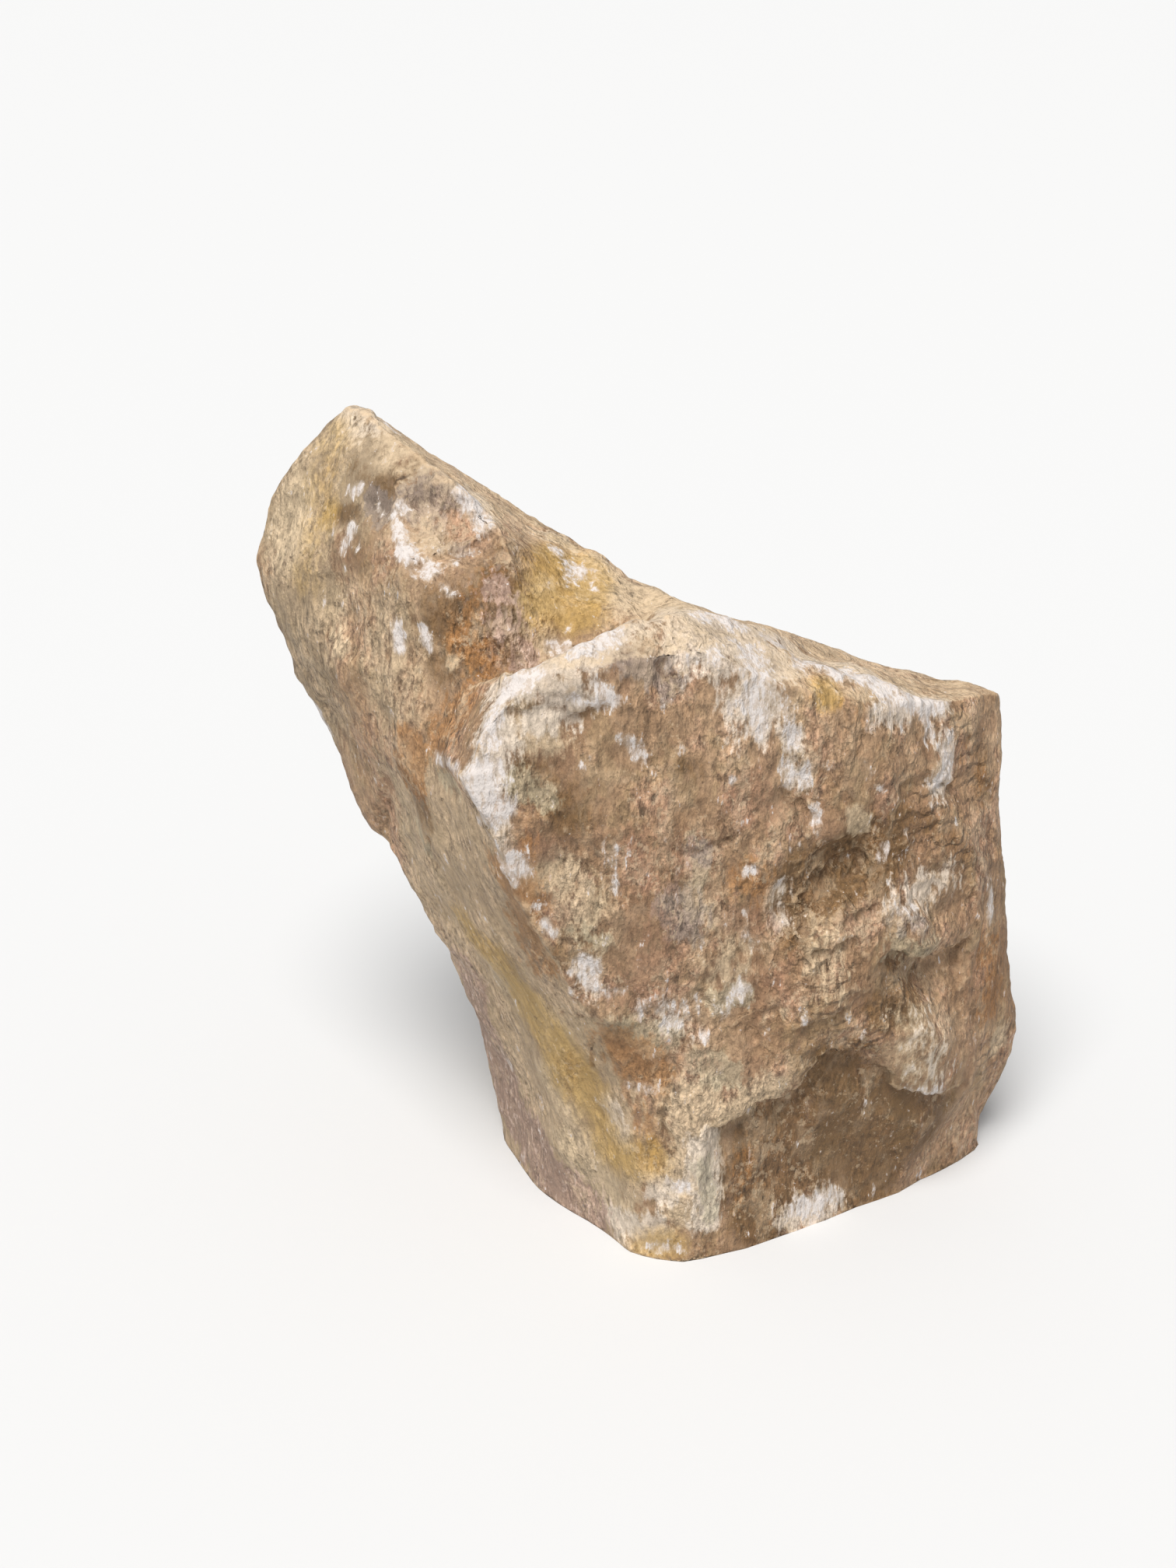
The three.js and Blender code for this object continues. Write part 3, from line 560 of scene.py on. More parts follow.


# Marks, listed: a radius in mm, a strength, and places in the view's frame.
marks = {
    # white bruises, where the stone was knocked and crushed
    "bruise": [
        (2.2, 0.9, (476, 533), (490, 543), (503, 553)), (1.5, 0.9, (450, 632), (460, 628)),
        (1.8, 1, (452, 678), (446, 692), (442, 703)), (1.3, 0.8, (484, 652), (489, 660)),
        (2, 1, (520, 652), (508, 666), (514, 686)),
        (2.2, 1.35, (516, 705), (530, 718), (545, 728), (557, 731)),
        (1.8, 1.35, (558, 712), (572, 695), (588, 676), (600, 656)),
        (2.6, 1.3, (600, 632), (612, 642), (620, 652), (624, 668)),
        (1.6, 1.1, (566, 722), (590, 712), (612, 706), (624, 700)),
        (1.5, 0.9, (575, 755), (580, 762)), (1.8, 1, (508, 802), (511, 815), (513, 832)),
        (1.4, 0.9, (541, 806), (548, 820), (552, 830)), (1.6, 1, (714, 701), (722, 710)),
        (2, 1, (731, 724), (740, 732), (735, 742)), (1.2, 0.8, (764, 757)),
        (2.4, 1.1, (718, 834), (740, 834), (768, 828), (792, 816)),
        (3, 1.1, (642, 898), (652, 886), (668, 874), (682, 864)),
        (1.8, 0.9, (766, 882), (780, 892), (786, 903)),
        (1.7, 0.9, (738, 900), (755, 907), (775, 907)), (2.6, 1, (636, 912), (634, 935), (630, 955)),
        (3.6, 1.1, (622, 982), (616, 1005), (620, 1028), (636, 1046)),
        (2.6, 1, (640, 985), (632, 1010)), (1.8, 0.9, (562, 974), (578, 984), (592, 996)),
        (1.6, 0.8, (618, 1058), (636, 1085), (650, 1110), (662, 1135)),
        (1.7, 1, (660, 1100), (672, 1122)), (1, 0.8, (690, 1166)), (1.5, 1, (702, 1186), (708, 1200)),
        (1.6, 1.1, (745, 1236), (758, 1242), (766, 1250)), (1.6, 1.1, (752, 1258), (762, 1270)),
        (1, 0.9, (730, 1250)), (1.4, 0.9, (788, 1280), (800, 1275)),
        (2.8, 0.65, (832, 1302), (850, 1298), (872, 1302)), (2, 0.7, (858, 1315), (882, 1322)),
        (1.6, 0.8, (896, 1288), (900, 1310), (903, 1335)),
        (1.7, 0.9, (806, 955), (816, 962), (824, 974)), (1.2, 0.8, (795, 952), (808, 958)),
        (1.8, 0.6, (776, 1084), (786, 1092), (790, 1110)), (1, 0.5, (790, 1125), (794, 1150)),
        (2.4, 1, (900, 792), (925, 797), (955, 807)), (2, 0.9, (890, 852), (908, 845), (930, 838)),
        (5.4, 0.85, (962, 845), (978, 870), (985, 895)),
        (3.4, 0.8, (965, 900), (972, 920), (968, 935)),
        (3, 0.8, (985, 822), (1010, 835), (1030, 852)),
        (1.5, 0.9, (1010, 900), (1014, 930), (1018, 948)), (1.8, 1.1, (1022, 945), (1016, 962)),
        (2, 1.05, (1012, 985), (1020, 1000)), (1.8, 0.95, (1040, 985), (1034, 1006)),
        (1.5, 0.6, (1052, 982), (1074, 985)),
        (3.2, 1.2, (1045, 850), (1075, 858), (1105, 868), (1125, 880)),
        (2.8, 1.2, (1140, 890), (1170, 900), (1205, 908)), (2.2, 0.9, (1090, 862), (1130, 890)),
        (2, 0.7, (1130, 905), (1140, 925)), (2, 0.7, (1155, 905), (1160, 930)),
        (2, 0.8, (1190, 918), (1196, 940)), (3.4, 0.8, (1212, 958), (1216, 985), (1208, 1005)),
        (2.4, 0.6, (1205, 1010), (1206, 1030)), (1, 0.8, (943, 1003)),
        (1.2, 0.6, (1115, 985), (1120, 998)), (1.2, 0.7, (1128, 1012), (1137, 1018)),
        (1.3, 0.9, (1045, 1040), (1050, 1055)), (1.5, 0.5, (1052, 1066), (1062, 1084)),
        (0.9, 0.9, (1166, 1068)), (1.4, 0.6, (1138, 1090), (1134, 1106)), (1.2, 0.5, (1230, 1056)),
        (1.2, 0.8, (958, 1121), (970, 1120)), (1.7, 0.9, (1003, 1140), (1008, 1160)),
        (1.4, 0.8, (1008, 1178), (1012, 1192)), (1.1, 1, (961, 1173)),
        (1.6, 0.7, (966, 1208), (972, 1222)), (2.6, 0.8, (1158, 1166), (1175, 1170)),
        (3, 0.7, (932, 1300), (942, 1282), (952, 1272)), (1.2, 0.8, (1034, 1302), (1037, 1316)),
        (2, 0.7, (1165, 1400), (1190, 1408), (1212, 1402)),
        (2.6, 1, (1022, 1554), (1048, 1548), (1070, 1538)), (1.8, 0.7, (1274, 1130), (1276, 1180)),
        (1.8, 0.7, (812, 1395), (835, 1400)), (1.8, 0.6, (770, 1425), (790, 1440)),
        (1.8, 0.6, (862, 1520), (880, 1528)), (1.6, 0.8, (835, 1605), (868, 1606)),
        (1.4, 0.7, (643, 1350), (652, 1370)),
    ],
    # wide pale worn stone
    "chalk": [
        (5, 0.8, (462, 525), (480, 545)), (4, 0.8, (612, 632), (626, 658)), (4.5, 1, (720, 690)),
        (6, 1, (705, 850), (740, 838), (790, 812), (840, 795)),
        (6, 1, (860, 790), (920, 800), (980, 815)), (5, 0.9, (640, 890), (690, 880), (740, 895)),
        (5, 1, (640, 925), (640, 960), (620, 1000)), (4, 0.9, (690, 925), (730, 925)),
        (3, 0.8, (640, 1060), (665, 1115)), (7, 1, (890, 825), (940, 830), (985, 850)),
        (8, 0.8, (970, 860), (975, 915)), (3.4, 0.8, (1020, 950), (1025, 1000)),
        (5, 1, (1020, 835), (1080, 856), (1140, 880), (1205, 900)),
        (4, 0.8, (1135, 915), (1160, 920)), (4.5, 0.8, (1212, 960), (1210, 1010)),
        (5, 0.6, (850, 1305), (880, 1330)), (4, 0.7, (1000, 1150), (1008, 1185)),
        (6, 0.7, (1160, 1170), (1190, 1150), (1215, 1130)), (6, 0.55, (1190, 1330), (1200, 1390)),
        (5, 0.8, (1020, 1565), (1066, 1544)), (4, 0.6, (750, 1245), (765, 1275)),
        (4.5, 1, (908, 1470), (908, 1570)), (4, 0.8, (780, 1425), (800, 1465)), (5, 0.8, (850, 1530)),
        (5, 0.9, (790, 1565), (840, 1590)),
    ],
    # the lobe's paler, greyer stone
    "pale": [
        (16, 1, (380, 660), (410, 560), (450, 600)), (15, 0.9, (390, 760), (400, 900)),
        (12, 0.7, (500, 800), (500, 900)), (9, 0.6, (500, 990), (520, 1060)),
    ],
    # grey spots
    "ash": [
        (5, 1.2, (535, 645), (555, 632), (578, 628)), (3.5, 1, (548, 668), (565, 672)),
        (3, 1, (545, 618), (570, 620)), (3.4, 1.1, (482, 645), (492, 660)),
        (4, 1, (805, 845), (822, 850), (840, 860)), (3.4, 0.9, (850, 860), (862, 880)),
        (3.5, 0.8, (905, 812), (925, 808)), (2.5, 1, (992, 852)), (3, 0.8, (895, 1090), (905, 1100)),
        (4.5, 0.7, (575, 690), (590, 695)), (5, 0.9, (870, 1165), (885, 1190)),
        (4, 0.8, (1160, 1180), (1185, 1186)),
    ],
    # pale green-grey
    "moss": [
        (5, 1, (800, 1325), (860, 1335)), (4.5, 1, (900, 1365), (935, 1385)),
        (3.5, 0.8, (905, 1500), (915, 1560)), (4, 0.9, (570, 990), (580, 1005)),
        (3, 0.8, (535, 1060), (550, 1095)), (5, 0.7, (660, 1000), (700, 1030)),
        (4, 1, (925, 1290), (950, 1280)), (5, 0.8, (1155, 1220), (1200, 1225)),
        (4, 0.7, (890, 1080), (900, 1130)), (4, 0.6, (745, 1200), (775, 1215)),
    ],
    # yellow, waxy calcite
    "honey": [
        (8, 0.6, (430, 560), (425, 600), (415, 630)), (4, 0.8, (425, 655), (418, 668)),
        (7, 0.6, (400, 690), (385, 740)), (7, 1.3, (748, 740), (738, 775)),
        (7, 1, (715, 720), (700, 770)), (6, 0.7, (720, 690), (760, 720)),
        (7, 0.9, (600, 1192), (640, 1230), (680, 1290)),
        (8, 1, (680, 1290), (710, 1350), (745, 1400)),
        (7, 0.9, (745, 1400), (790, 1480), (830, 1490)), (5, 0.9, (830, 1605), (860, 1600)),
        (4.5, 1.1, (1062, 888)),
    ],
    # orange
    "amber": [
        (5, 1.5, (525, 965), (526, 1003)), (5, 0.9, (595, 820), (625, 850)),
        (5, 0.7, (640, 740), (600, 790)), (4, 0.7, (555, 672)),
        (6, 0.8, (640, 1110), (665, 1170), (690, 1240)),
        (6, 1, (650, 1120), (665, 1160), (690, 1230)), (6.5, 1.1, (795, 1345), (830, 1375)),
        (6.5, 1, (600, 905), (580, 935), (570, 955)), (5, 0.8, (675, 1085)),
        (6, 0.9, (1275, 1210), (1280, 1240), (1275, 1290)), (5, 0.9, (955, 1128), (975, 1145)),
        (5, 0.6, (1080, 900), (1100, 920)), (6, 0.6, (950, 1480), (960, 1530)),
        (4, 0.6, (825, 1425), (840, 1480)), (5, 0.5, (1220, 930), (1260, 1000)),
    ],
    # rust red
    "rust": [
        (4.5, 1.1, (672, 1086), (690, 1090)), (3.5, 1, (700, 1168), (715, 1178)),
        (8, 0.8, (820, 1090), (860, 1110)), (5, 0.5, (760, 1030)), (6, 0.8, (965, 1020), (995, 1050)),
        (4, 1.1, (838, 1240), (858, 1232)), (6, 0.9, (800, 1265), (825, 1285)),
        (5, 0.9, (950, 1185), (985, 1195)), (5, 0.6, (845, 1180), (850, 1220)),
        (5, 0.8, (1265, 1220), (1262, 1260)), (4, 0.7, (1020, 1230), (1000, 1260)),
        (5, 0.7, (870, 1355), (895, 1365)),
    ],
    # brown crust
    "crust": [
        (7, 1, (600, 1250), (622, 1330)), (9, 1, (622, 1330), (655, 1420)),
        (9, 1, (655, 1420), (700, 1500)), (8, 0.9, (700, 1500), (760, 1560)),
        (3.5, 0.9, (670, 835), (675, 850)), (5, 0.6, (640, 760), (650, 810)),
    ],
    # pale sandy stone, and painted highlight on the saddle, the ledge tops and the near edge
    "sandAndHighlight": [
        (8, 1, (770, 740), (820, 770), (850, 775)), (6, 1, (850, 770), (885, 785)),
        (8, 0.8, (380, 640), (370, 700)), (6, 0.8, (440, 550), (430, 560)),
        (6, 0.8, (700, 760), (680, 800), (700, 830)), (6, 0.9, (660, 920), (700, 945)),
        (6, 1, (900, 1410), (905, 1480)), (7, 1.1, (893, 1420), (893, 1550)),
        (6, 0.9, (940, 1440), (985, 1405)), (8, 0.7, (1180, 1330), (1195, 1380)),
        (8, 1, (740, 1480), (790, 1550)), (7, 0.7, (950, 1220), (930, 1250)), (5, 0.9, (1282, 1340)),
        (7, 1.1, (650, 1260), (700, 1320)), (7, 0.8, (705, 1380), (735, 1430)),
        (3, 0.9, (430, 820), (436, 834)), (2, 0.9, (584, 852)), (6, 0.6, (890, 1160), (920, 1190)),
        (8, 0.7, (715, 1120), (745, 1180)), (8, 0.6, (1060, 1220), (1080, 1280)),
        (3, 0.9, (1098, 1050), (1108, 1064)),
    ],
    # dull olive brown, and painted shade in the hollows, under the nose and on the lower right face
    "oliveBrownAndShade": [
        (12, 1.1, (1180, 1450), (1080, 1470), (1010, 1500)), (9, 1.4, (990, 1460), (985, 1550)),
        (8, 0.9, (585, 790), (590, 840)), (5, 0.5, (455, 600), (480, 640)),
        (10, 1, (1150, 1440), (1116, 1518)), (10, 1, (1060, 1390), (1180, 1440)),
        (8, 1.4, (1120, 1098), (1075, 1120), (1040, 1145)), (5, 1, (1028, 1150), (1028, 1210)),
        (5, 0.8, (1130, 1080), (1160, 1060)), (8, 1.3, (1165, 1250), (1158, 1290)),
        (6, 0.8, (1050, 1365), (1110, 1352)), (7, 0.9, (990, 1460), (1030, 1470)),
        (7, 0.8, (655, 990), (690, 1010), (730, 1045)), (3, 0.6, (880, 985), (898, 992)),
        (8, 0.8, (650, 740), (650, 800)), (6, 0.8, (535, 1020), (540, 1045)),
        (10, 0.5, (450, 900), (470, 960)), (8, 0.5, (500, 740), (470, 720)),
        (2.5, 0.9, (440, 662), (456, 660)), (4, 0.9, (485, 640), (492, 625)),
        (3, 0.9, (510, 614), (540, 595)), (5, 0.6, (1255, 950), (1270, 1020)),
        (6, 0.6, (1190, 1060), (1240, 1100)), (5, 0.8, (920, 1480), (935, 1540)),
    ],
    # ledges broken one over another, given a bump and a painted shadow under each ledge
    "shelf": [
        (6, 0.5, (1232, 915), (1245, 960), (1250, 1015)), (5, 0.6, (1190, 1040), (1240, 1090)),
        (5, 0.6, (1080, 1300), (1110, 1340)), (5, 0.5, (1045, 1230), (1070, 1260)),
        (5, 0.6, (1270, 1350), (1268, 1376)),
    ],
}

# Marks on the sides turned away from the camera: a place is a turn about the upright axis in degrees, from
# the right round by the back, and a height in mm.
farMarks = {
    "bruise": [
        (2, 1, (20, 98), (26, 97)), (2.6, 1, (38, 92), (48, 92)), (1.8, 0.9, (60, 70), (62, 64)),
        (2, 0.9, (15, 60), (18, 52)), (2.6, 1, (85, 100), (97, 104)), (2, 0.9, (110, 88), (116, 84)),
        (1.6, 0.9, (130, 60), (132, 55)), (3, 1, (146, 126), (150, 134)),
        (2.2, 1, (155, 112), (160, 105)), (1.8, 0.9, (175, 90), (178, 84)),
        (2.4, 0.9, (100, 30), (106, 26)), (2, 0.9, (160, 40), (166, 34)),
        (2.6, 0.9, (75, 8), (84, 5)),
    ],
    "chalk": [
        (7, 0.8, (85, 100), (97, 104)), (7, 0.8, (146, 126), (150, 134)),
        (6, 0.7, (38, 92), (48, 92)), (8, 0.6, (75, 10), (95, 5)),
    ],
    "honey": [
        (9, 0.8, (120, 75), (128, 60)), (8, 0.8, (60, 40), (66, 28)), (8, 0.7, (170, 70), (176, 58)),
    ],
    "amber": [
        (8, 0.8, (80, 60), (84, 50)), (7, 0.9, (150, 90), (156, 80)), (7, 0.8, (30, 70), (32, 62)),
        (7, 0.7, (125, 24), (132, 18)),
    ],
    "rust": [
        (8, 0.8, (105, 50), (112, 44)), (8, 0.8, (60, 84), (70, 86)), (7, 0.8, (160, 60), (166, 52)),
        (8, 0.7, (45, 20), (55, 14)),
    ],
    "sandAndHighlight": [
        (10, 0.8, (90, 84), (100, 88)), (9, 0.8, (140, 100), (146, 108)),
        (9, 0.8, (50, 60), (54, 50)), (9, 0.7, (150, 24), (160, 20)),
    ],
    "oliveBrownAndShade": [
        (10, 0.8, (75, 30), (90, 24)), (9, 0.8, (120, 110), (128, 104)), (9, 0.8, (25, 36), (30, 26)),
    ],
}


def cameraRay(place):
    # from the camera's eye through a pixel of its frame: ahead, plus the pixel's way from the middle over
    # the lens's length in pixels, across and up
    down = math.radians(view["lookDown"])
    ahead = np.array([0, math.cos(down), -math.sin(down)])
    up = np.array([0, math.sin(down), math.cos(down)])
    across = np.array([1.0, 0, 0])
    wide, tall = view["frame"]
    lens = view["lens"] / view["sensor"] * tall
    way = ahead + across * (place[0] - wide / 2) / lens + up * (tall / 2 - place[1]) / lens
    return np.array(view["target"]) - view["distance"] * ahead, way


def sideRay(place):
    # level, inwards to the upright axis from outside the stone
    turn = math.radians(place[0])
    out = np.array([math.cos(turn), math.sin(turn), 0])
    return np.array([0, 0, place[1]]) + out * view["distance"], -out


def firstHit(start, way, corners):
    # where a ray first meets the triangles: each is solved for how far along the ray it lies and for the
    # shares of its two sides there, and the nearest with shares inside it is taken. A ray just past the
    # outline takes the corner nearest to it.
    a, b, c = corners
    sideB = b - a
    sideC = c - a
    across = np.cross(way, sideC)
    facing = (sideB * across).sum(1)
    facing = np.where(np.abs(facing) < 1e-9, np.inf, facing)
    shareB = ((start - a) * across).sum(1) / facing
    turned = np.cross(start - a, sideB)
    shareC = turned @ way / facing
    far = (sideC * turned).sum(1) / facing
    inside = (shareB >= 0) & (shareC >= 0) & (shareB + shareC <= 1) & (far > 0)
    if not inside.any():
        return a[np.argmin(np.linalg.norm(np.cross(a - start, way), axis=1))]
    return start + way * np.min(far[inside])


def onStone(table, ray, corners):
    # a table whose rows hold their two numbers and a list of points of the plain solid, one for each place
    found = {}
    for name, rows in table.items():
        found[name] = []
        for first, second, *places in rows:
            found[name].append((first, second, [firstHit(*ray(place), corners) for place in places]))
    return found


def foundPlaces():
    # the forms, the zones and all marks, as points in mm
    points, faces = mergedCopy("calcite_stone")
    corners = [points[faces[:, k]] for k in range(3)]
    spots = onStone(marks, cameraRay, corners)
    for name, rows in onStone(farMarks, sideRay, corners).items():
        spots[name] += rows
    return onStone(forms, cameraRay, corners), onStone(zones, cameraRay, corners), spots


def proudness(points, faces, rounds):
    # how far each point stands out of the middle of its neighbours, averaged over a few rounds
    spread = points
    for _ in range(rounds):
        spread = middlesRound(spread, faces)
    return ((points - spread) * pointNormals(points, faces)).sum(1)


def wallShare(points, faces):
    # 1 on the block's left wall, 0 elsewhere: it faces left, below the lobe
    left = rising(-pointNormals(points, faces)[:, 0], 0.2, 0.3)
    low = 1 - rising(points[:, 2], *stone["wallTop"])
    return left * low * rising(points[:, 0], *stone["wallLeft"])


def topShare(points, faces):
    # 1 where the stone faces up, 0 on its sides
    return rising(pointNormals(points, faces)[:, 2], 0.5, 0.3)


def pushedOut(points, faces, height):
    # moves each point along its normal by its height, the base staying flat and its rim moving less
    normal = pointNormals(points, faces)
    onBase = points[:, 2] < baseBelow
    normal[onBase, 2] = 0
    points = points + normal * (height(points, normal) * np.where(onBase, 0.3, 1))[:, None]
    return keptLevel(points, onBase)


def buildStone():
    shapes, areas, spots = foundPlaces()
    points, faces = stonePoints()
    top = topShare(points, faces)
    points = pushedOut(points, faces, lambda p, normal: formed(p, normal, shapes))
    points = pushedOut(points, faces, lambda p, normal: relief(p, areas))
    points = settled(points, faces, rounds=1, moves=1)
    low, high = np.array(cadBox) / mm
    points = np.clip(points, low, high)

    mesh = bpy.data.meshes.new("stone")
    mesh.from_pydata((points * mm).tolist(), [], faces.tolist())
    mesh.polygons.foreach_set("use_smooth", np.ones(len(faces), bool))
    mesh.update()
    fields = {name: field(points, rows) for name, rows in {**spots, **areas}.items()}
    fields["arris"] = proudness(points, faces, 10)
    fields["lump"] = proudness(points, faces, 3)
    fields["wall"] = wallShare(points, faces)
    fields["top"] = top
    fields["crack"] = field(points, [(width * 0.6, 1, path) for depth, width, path in shapes["crack"]])
    for name, values in fields.items():
        attribute = mesh.attributes.new(name, "FLOAT", "POINT")
        attribute.data.foreach_set("value", values.astype(np.float32))
    piece = added("stone", mesh)
    print("stone marks:", ", ".join(fields))
    return piece


# The finish: screen colours, gloss, the bump's height in m, and the fine ledges' spacing in mm and lean in
# degrees.
finish = {
    "brown": "8b6d51",
    "tan": "a4876a",
    # earth brown, also laid as painted shade in hollows
    "earthAndShade": "765a40",
    "pink": "a5806a",
    "olive": "94805d",
    "pale": "9c8a70",
    "rust": "87644e",
    "amber": "8a6138",
    "honey": "b08e4e",
    "sandAndHighlight": "b8a487",
    # olive brown, also laid as painted shade in hollows
    "oliveBrownAndShade": "634828",
    "moss": "a59c83",
    "ash": "7d7067",
    "chalk": "c3b5a5",
    "crust": "957c6e",
    "crustFleck": "bca393",
    "powder": "bfb2a9",
    "bruise": "cdc5c0",
    "cream": "ccb596",
    "fleck": "c9ad8b",
    "speck": "4a3a2b",
    "roughness": (0.6, 0.85),
    "gloss": 0.35,
    "bumpHeight": 0.001,
    "shelfPitch": 2.7,
    "shelfLean": 10,
}

# Noises: the size of their blobs in mm, detail, roughness, a shift that sets each apart, a lean in degrees.
grains = {
    "cloud": ((26, 26, 30), 3, 0.5),
    "patch": ((10, 10, 13), 5, 0.6, 50),
    "hue": ((7, 7, 11), 6, 0.62, 110),
    "blotch": ((3.6, 3.6, 6.5), 6, 0.6, 90),
    "lumps": ((3, 3, 6.5), 4, 0.5, 190),
    "spot": ((1.5, 1.5, 2.3), 3, 0.6, 20),
    "mottle": ((1.3, 1.3, 3.6), 5, 0.6, 70),
    "dash": ((1.3, 1.3, 1.6), 6, 0.72, 130),
    "dot": ((1.2, 1.2, 1.3), 5, 0.7, 170),
    "grit": ((0.8, 0.8, 1.6), 4, 0.7, 30),
    "upright": ((0.8, 0.8, 3.6), 4, 0.62),
    "streak": ((1.1, 1.1, 12), 5, 0.62, 60, -27),
}

# Broken chips: size in mm, how far noise bends them, a shift, and how the way to their middle is measured.
chipKinds = {
    "bowl": ((4.2, 4.2, 7), 1.3, 0, "EUCLIDEAN"),
    "chip": ((1.3, 1.3, 3.2), 3, 40, "MANHATTAN"),
}

# Sums of noises, fields of the mesh and plain numbers, each with its share. "tatter" is about zero and tears
# edges. "busy" says how crisp the stone is, less where it is calm or waxy. The sum on the faces that look up
# says where the painted highlight goes.
sums = {
    "tatter": [("blotch", 1.5), ("mottle", 1.2), ("fibre", 0.7), ("grit", 0.5), (1.0, -1.95)],
    "busy": [("patchy", 1.0), ("calm", -0.5), ("honey", -0.2)],
    "flock": [("dash", 1.0), ("patch", 0.6)],
    "paintedTopHighlight": [("top", 1.0), ("tatter", 1.1), ("honey", -0.4)],
    "heart": [("bruise", 1.4), ("tatter", 1.8), ("fibre", 2.6), ("grit", 3.0)],
}

# Coats of shade, one over another: shade, the value that it follows, how torn its edge is, where the edge
# starts and ends, and how far it covers. First the body's patches and marks, under the fine light and dark.
body = [
    ("pink", "patch", 0, 0.5, 0.6, 0.45),
    ("olive", "hue", 0, 0.53, 0.6, 0.28),
    ("rust", "hue", 0, 0.47, 0.41, 0.28),
    ("earthAndShade", "blotch", 0, 0.45, 0.36, 0.5),
    ("sandAndHighlight", "wall", 0.6, 0.3, 1.0, 0.6),
    ("pale", "pale", 0.6, 0.3, 0.75, 0.75),
    # olive brown, partly painted shade in the hollows and on the lower face
    ("oliveBrownAndShade", "oliveBrownAndShade", 0.7, 0.3, 0.8, 0.8),
    # pale sand, partly painted highlight on the saddle, the ledge tops and the near edge
    ("sandAndHighlight", "sandAndHighlight", 0.8, 0.35, 0.75, 0.7),
    ("chalk", "chalk", 1.0, 0.35, 0.7, 0.8),
    ("moss", "moss", 0.8, 0.45, 0.7, 0.5),
    ("ash", "ash", 1.0, 0.35, 0.65, 0.75),
    ("rust", "rust", 1.1, 0.4, 0.85, 0.55),
    ("amber", "amber", 1.1, 0.4, 0.85, 0.7),
    ("honey", "honey", 0.4, 0.3, 0.9, 0.7),
    ("crust", "crust", 0.7, 0.4, 0.6, 0.85),
]
# Then what lies over it: flecks, a painted highlight on the faces that look up, rubbed lumps and arrises,
# painted shade in the hollows, dark in the cracks, and bruises.
wearAndPaintedLight = [
    ("cream", "flock", 0, 0.88, 0.93, 0.35),
    ("speck", "dot", 0, 0.63, 0.67, 0.55),
    ("bruise", "dot", 0, 0.32, 0.29, 0.6),
    # painted highlight on the faces that look up
    ("cream", "paintedTopHighlight", 0, 0.4, 1.3, 0.7),
    ("fleck", "lump", 0.12, 0.08, 0.3, 0.45),
    # painted shade in the hollows, where the stone sinks below its neighbours
    ("earthAndShade", "lump", 0.12, -0.06, -0.3, 0.4),
    ("cream", "arris", 0.8, 0.5, 1.1, 0.55),
    ("speck", "crack", 0, 0.45, 0.9, 0.85),
    ("chalk", "bruise", 1.0, 0.25, 0.75, 0.4),
    ("powder", "bruise", 1.7, 0.45, 0.85, 0.6),
    ("bruise", "heart", 0, 3.8, 4.3, 0.9),
]

stoneMaterial = bpy.data.materials.new("roughCalcite")
stoneMaterial.use_nodes = True
tree = stoneMaterial.node_tree
named = {}      # the material's values by name


def known(thing):
    # a name stands for a value made before, or else for a field of the mesh. Anything else is as it is.
    if not isinstance(thing, str):
        return thing
    if thing not in named:
        named[thing] = put("Attribute", {}, "Fac", attribute_name=thing)
    return named[thing]


def put(kind, sockets, output=0, **settings):
    # adds a shader node and gives its output: sockets take numbers, colours, other outputs or names
    node = tree.nodes.new("ShaderNode" + kind)
    for name, setting in settings.items():
        setattr(node, name, setting)
    for name, thing in sockets.items():
        thing = known(thing)
        if isinstance(thing, bpy.types.NodeSocket):
            tree.links.new(thing, node.inputs[name])
        else:
            node.inputs[name].default_value = thing
    return node.outputs[output]


def place(size, shift=0, lean=0):
    # object coordinates in cells of that size in mm, leaning about Y by some degrees
    return put("Mapping", {
        "Vector": put("TexCoord", {}, "Object"),
        "Location": (shift * mm, 0, 0),
        "Rotation": (0, math.radians(lean), 0),
        "Scale": tuple(s * mm for s in size),
    }, vector_type="TEXTURE")


def grained(size, detail, roughness, shift=0, lean=0, output=0):
    # noise whose blobs have that size
    sockets = {"Vector": place(size, shift, lean), "Scale": 1, "Detail": detail, "Roughness": roughness}
    return put("TexNoise", sockets, output)


def maths(way, a, b):
    return put("Math", {0: a, 1: b}, operation=way)


def between(amount, low, high, start=0.0, end=1.0):
    # smooth step from start to end as the amount goes from low to high
    sockets = {"Value": amount, "From Min": low, "From Max": high, "To Min": start, "To Max": end}
    return put("MapRange", sockets, interpolation_type="SMOOTHSTEP")


def mixed(share, low, high, way="MIX"):
    return put("Mix", {0: share, 6: low, 7: high}, 2, data_type="RGBA", blend_type=way)


def summed(*parts):
    # the sum of values, each times its number
    total = None
    for part, times in parts:
        part = maths("MULTIPLY", part, times)
        total = part if total is None else maths("ADD", total, part)
    return total


def coated(tone, coats):
    # lays coats over a tone, each from nothing to its most as its torn value goes from low to high
    for shade, name, tear, low, high, most in coats:
        amount = summed((name, 1.0), ("tatter", tear)) if tear else name
        tone = mixed(between(amount, low, high, 0, most), tone, colour(finish[shade]))
    return tone


def chips(wind, size, bend, shift, metric):
    # broken chips: the way to the nearest scattered point, small in each chip's middle and meeting its
    # neighbours in a crest, and a random number for each chip
    warp = put("VectorMath", {0: wind, 1: (bend, bend, bend)}, operation="MULTIPLY")
    where = put("VectorMath", {0: place(size, shift), 1: warp}, operation="ADD")
    distance = put("TexVoronoi", {"Vector": where, "Scale": 1}, "Distance", feature="F1", distance=metric)
    return distance, put("SeparateColor", {"Color": distance.node.outputs["Color"]})


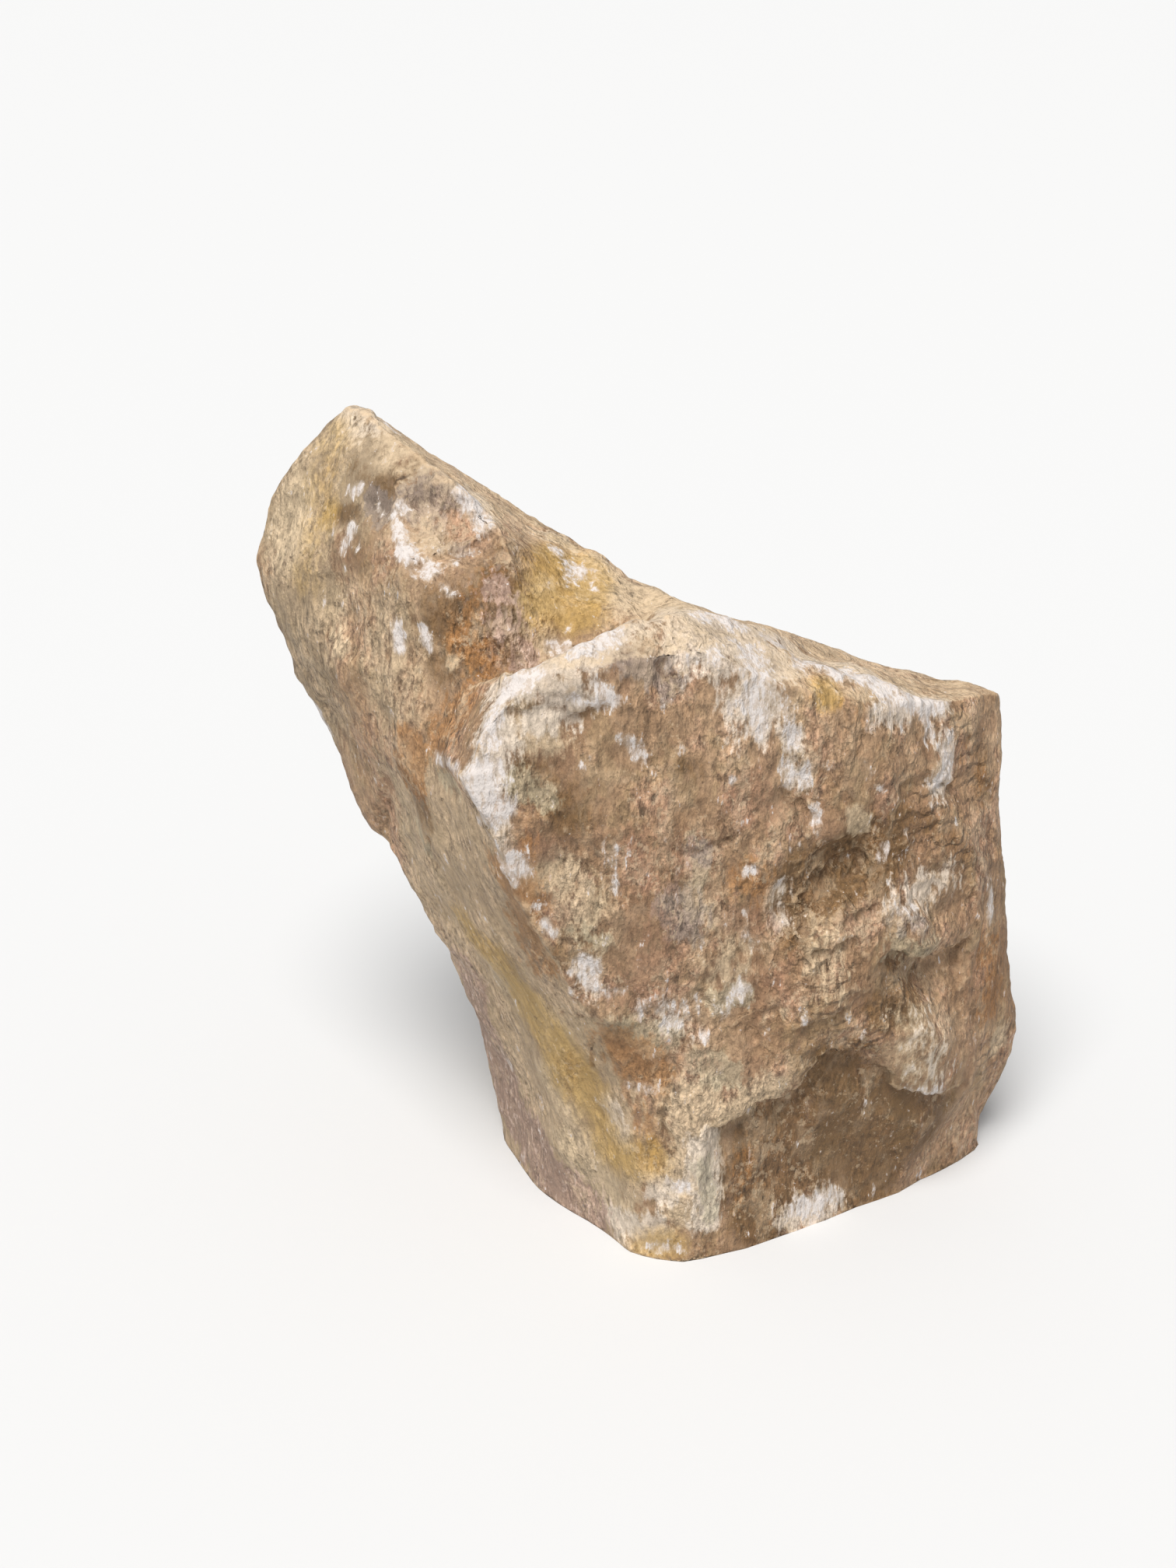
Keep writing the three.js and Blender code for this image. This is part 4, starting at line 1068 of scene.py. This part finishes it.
def shelves(pitch, lean, lip=0.36):
    # ledges one over another: a saw-tooth up the stone, bent by noise. Each comes out as far as its lip and
    # falls back over the rest. With its height comes its painted light: painted shadow under the lip,
    # painted highlight on it.
    wave = put("TexWave", {
        "Vector": place((pitch, pitch, pitch), lean=lean),
        "Scale": 0.314,     # one ledge to a cell
        "Distortion": 12,
        "Detail": 4,
        "Detail Scale": 1.1,
        "Detail Roughness": 0.6,
    }, "Fac", wave_type="BANDS", bands_direction="Z", wave_profile="SAW")
    out = maths("DIVIDE", wave, lip)
    back = maths("DIVIDE", maths("SUBTRACT", 1.0, wave), 1 - lip)
    return maths("MINIMUM", out, back), between(wave, 0.12, 0.45, -0.3, 0.14)


def nameValues():
    # makes all that the finish reads by name
    for name, grain in grains.items():
        named[name] = grained(*grain)
    wind = grained((3, 3, 4), 3, 0.55, output="Color")
    for name, kind in chipKinds.items():
        named[name], named[name + "Number"] = chips(wind, *kind)
    named["ledge"], named["ledgePaintedShadow"] = shelves(finish["shelfPitch"], finish["shelfLean"])
    # fibres stand upright, and lean on the left wall
    named["fibre"] = put("Mix", {0: "wall", 2: "upright", 3: "streak"}, data_type="FLOAT")
    named["patchy"] = between("patch", 0.4, 0.6, 0.6, 1.3)
    for name, parts in sums.items():
        named[name] = summed(*parts)


def fineShade():
    # light and dark to multiply a tone by, about a mean: grit, chips, fibres, and the painted shadow under
    # ledges
    gritty = between("grit", 0.36, 0.64, -0.32, 0.28)
    speckled = between("mottle", 0.38, 0.62, -0.15, 0.14)
    chipped = summed((gritty, 1.0), (speckled, 1.0), ("bowlNumber", 0.14), ("chipNumber", 0.22))
    chipped = maths("MULTIPLY", chipped, "busy")
    ribbed = between("fibre", 0.36, 0.64, -0.22, 0.18)
    ribbed = maths("MULTIPLY", ribbed, summed(("fibrous", 0.6), ("busy", 0.45), ("top", -0.5)))
    # painted shadow under each ledge's lip and painted highlight on it
    paintedLedgeShadow = maths("MULTIPLY", "ledgePaintedShadow", "shelf")
    shade = summed((chipped, 1.0), (ribbed, 1.0), (paintedLedgeShadow, 1.0), (1.0, 0.87))
    return put("CombineColor", {0: shade, 1: shade, 2: shade})


def stoneTone():
    tone = mixed(between("cloud", 0.36, 0.64), colour(finish["brown"]), colour(finish["tan"]))
    tone = coated(tone, body)
    spots = maths("MULTIPLY", "crust", between("spot", 0.56, 0.62))
    tone = mixed(spots, tone, colour(finish["crustFleck"]))
    tone = mixed(1.0, tone, fineShade(), "MULTIPLY")
    # pale crests between chips
    crest = maths("MULTIPLY", between("bowl", 0.55, 0.8, 0, 0.22), "busy")
    tone = mixed(crest, tone, colour(finish["cream"]))
    return coated(tone, wearAndPaintedLight)


def fineRelief():
    # height of the bump: lumps and grit, chips with squared bowls, fibres and fine ledges
    lumpy = summed(("lumps", 0.9), ("mottle", 0.42), ("grit", 0.3))
    broken = summed((maths("MULTIPLY", "bowl", "bowl"), 1.0), ("chip", 0.4))
    broken = maths("MULTIPLY", broken, summed(("rough", 0.25), ("busy", 0.6), ("bruise", -0.35)))
    ribs = maths("MULTIPLY", "fibre", summed(("fibrous", 0.3), ("busy", 0.14), ("top", -0.14)))
    ledges = maths("MULTIPLY", "ledge", "shelf")
    return summed((lumpy, 1.0), (broken, 1.0), (ribs, 1.0), (ledges, 0.9))


def finishStone():
    shader = tree.nodes["Principled BSDF"]
    nameValues()
    bump = put("Bump", {"Strength": 1.0, "Distance": finish["bumpHeight"], "Height": fineRelief()})
    tree.links.new(stoneTone(), shader.inputs["Base Color"])
    tree.links.new(bump, shader.inputs["Normal"])
    tree.links.new(between("blotch", 0.3, 0.7, *finish["roughness"]), shader.inputs["Roughness"])
    shader.inputs["Specular IOR Level"].default_value = finish["gloss"]


stonePiece = buildStone()
finishStone()
stonePiece.data.materials.append(stoneMaterial)
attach(stonePiece, "root")
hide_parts("calcite_stone")
print("stone is in place")
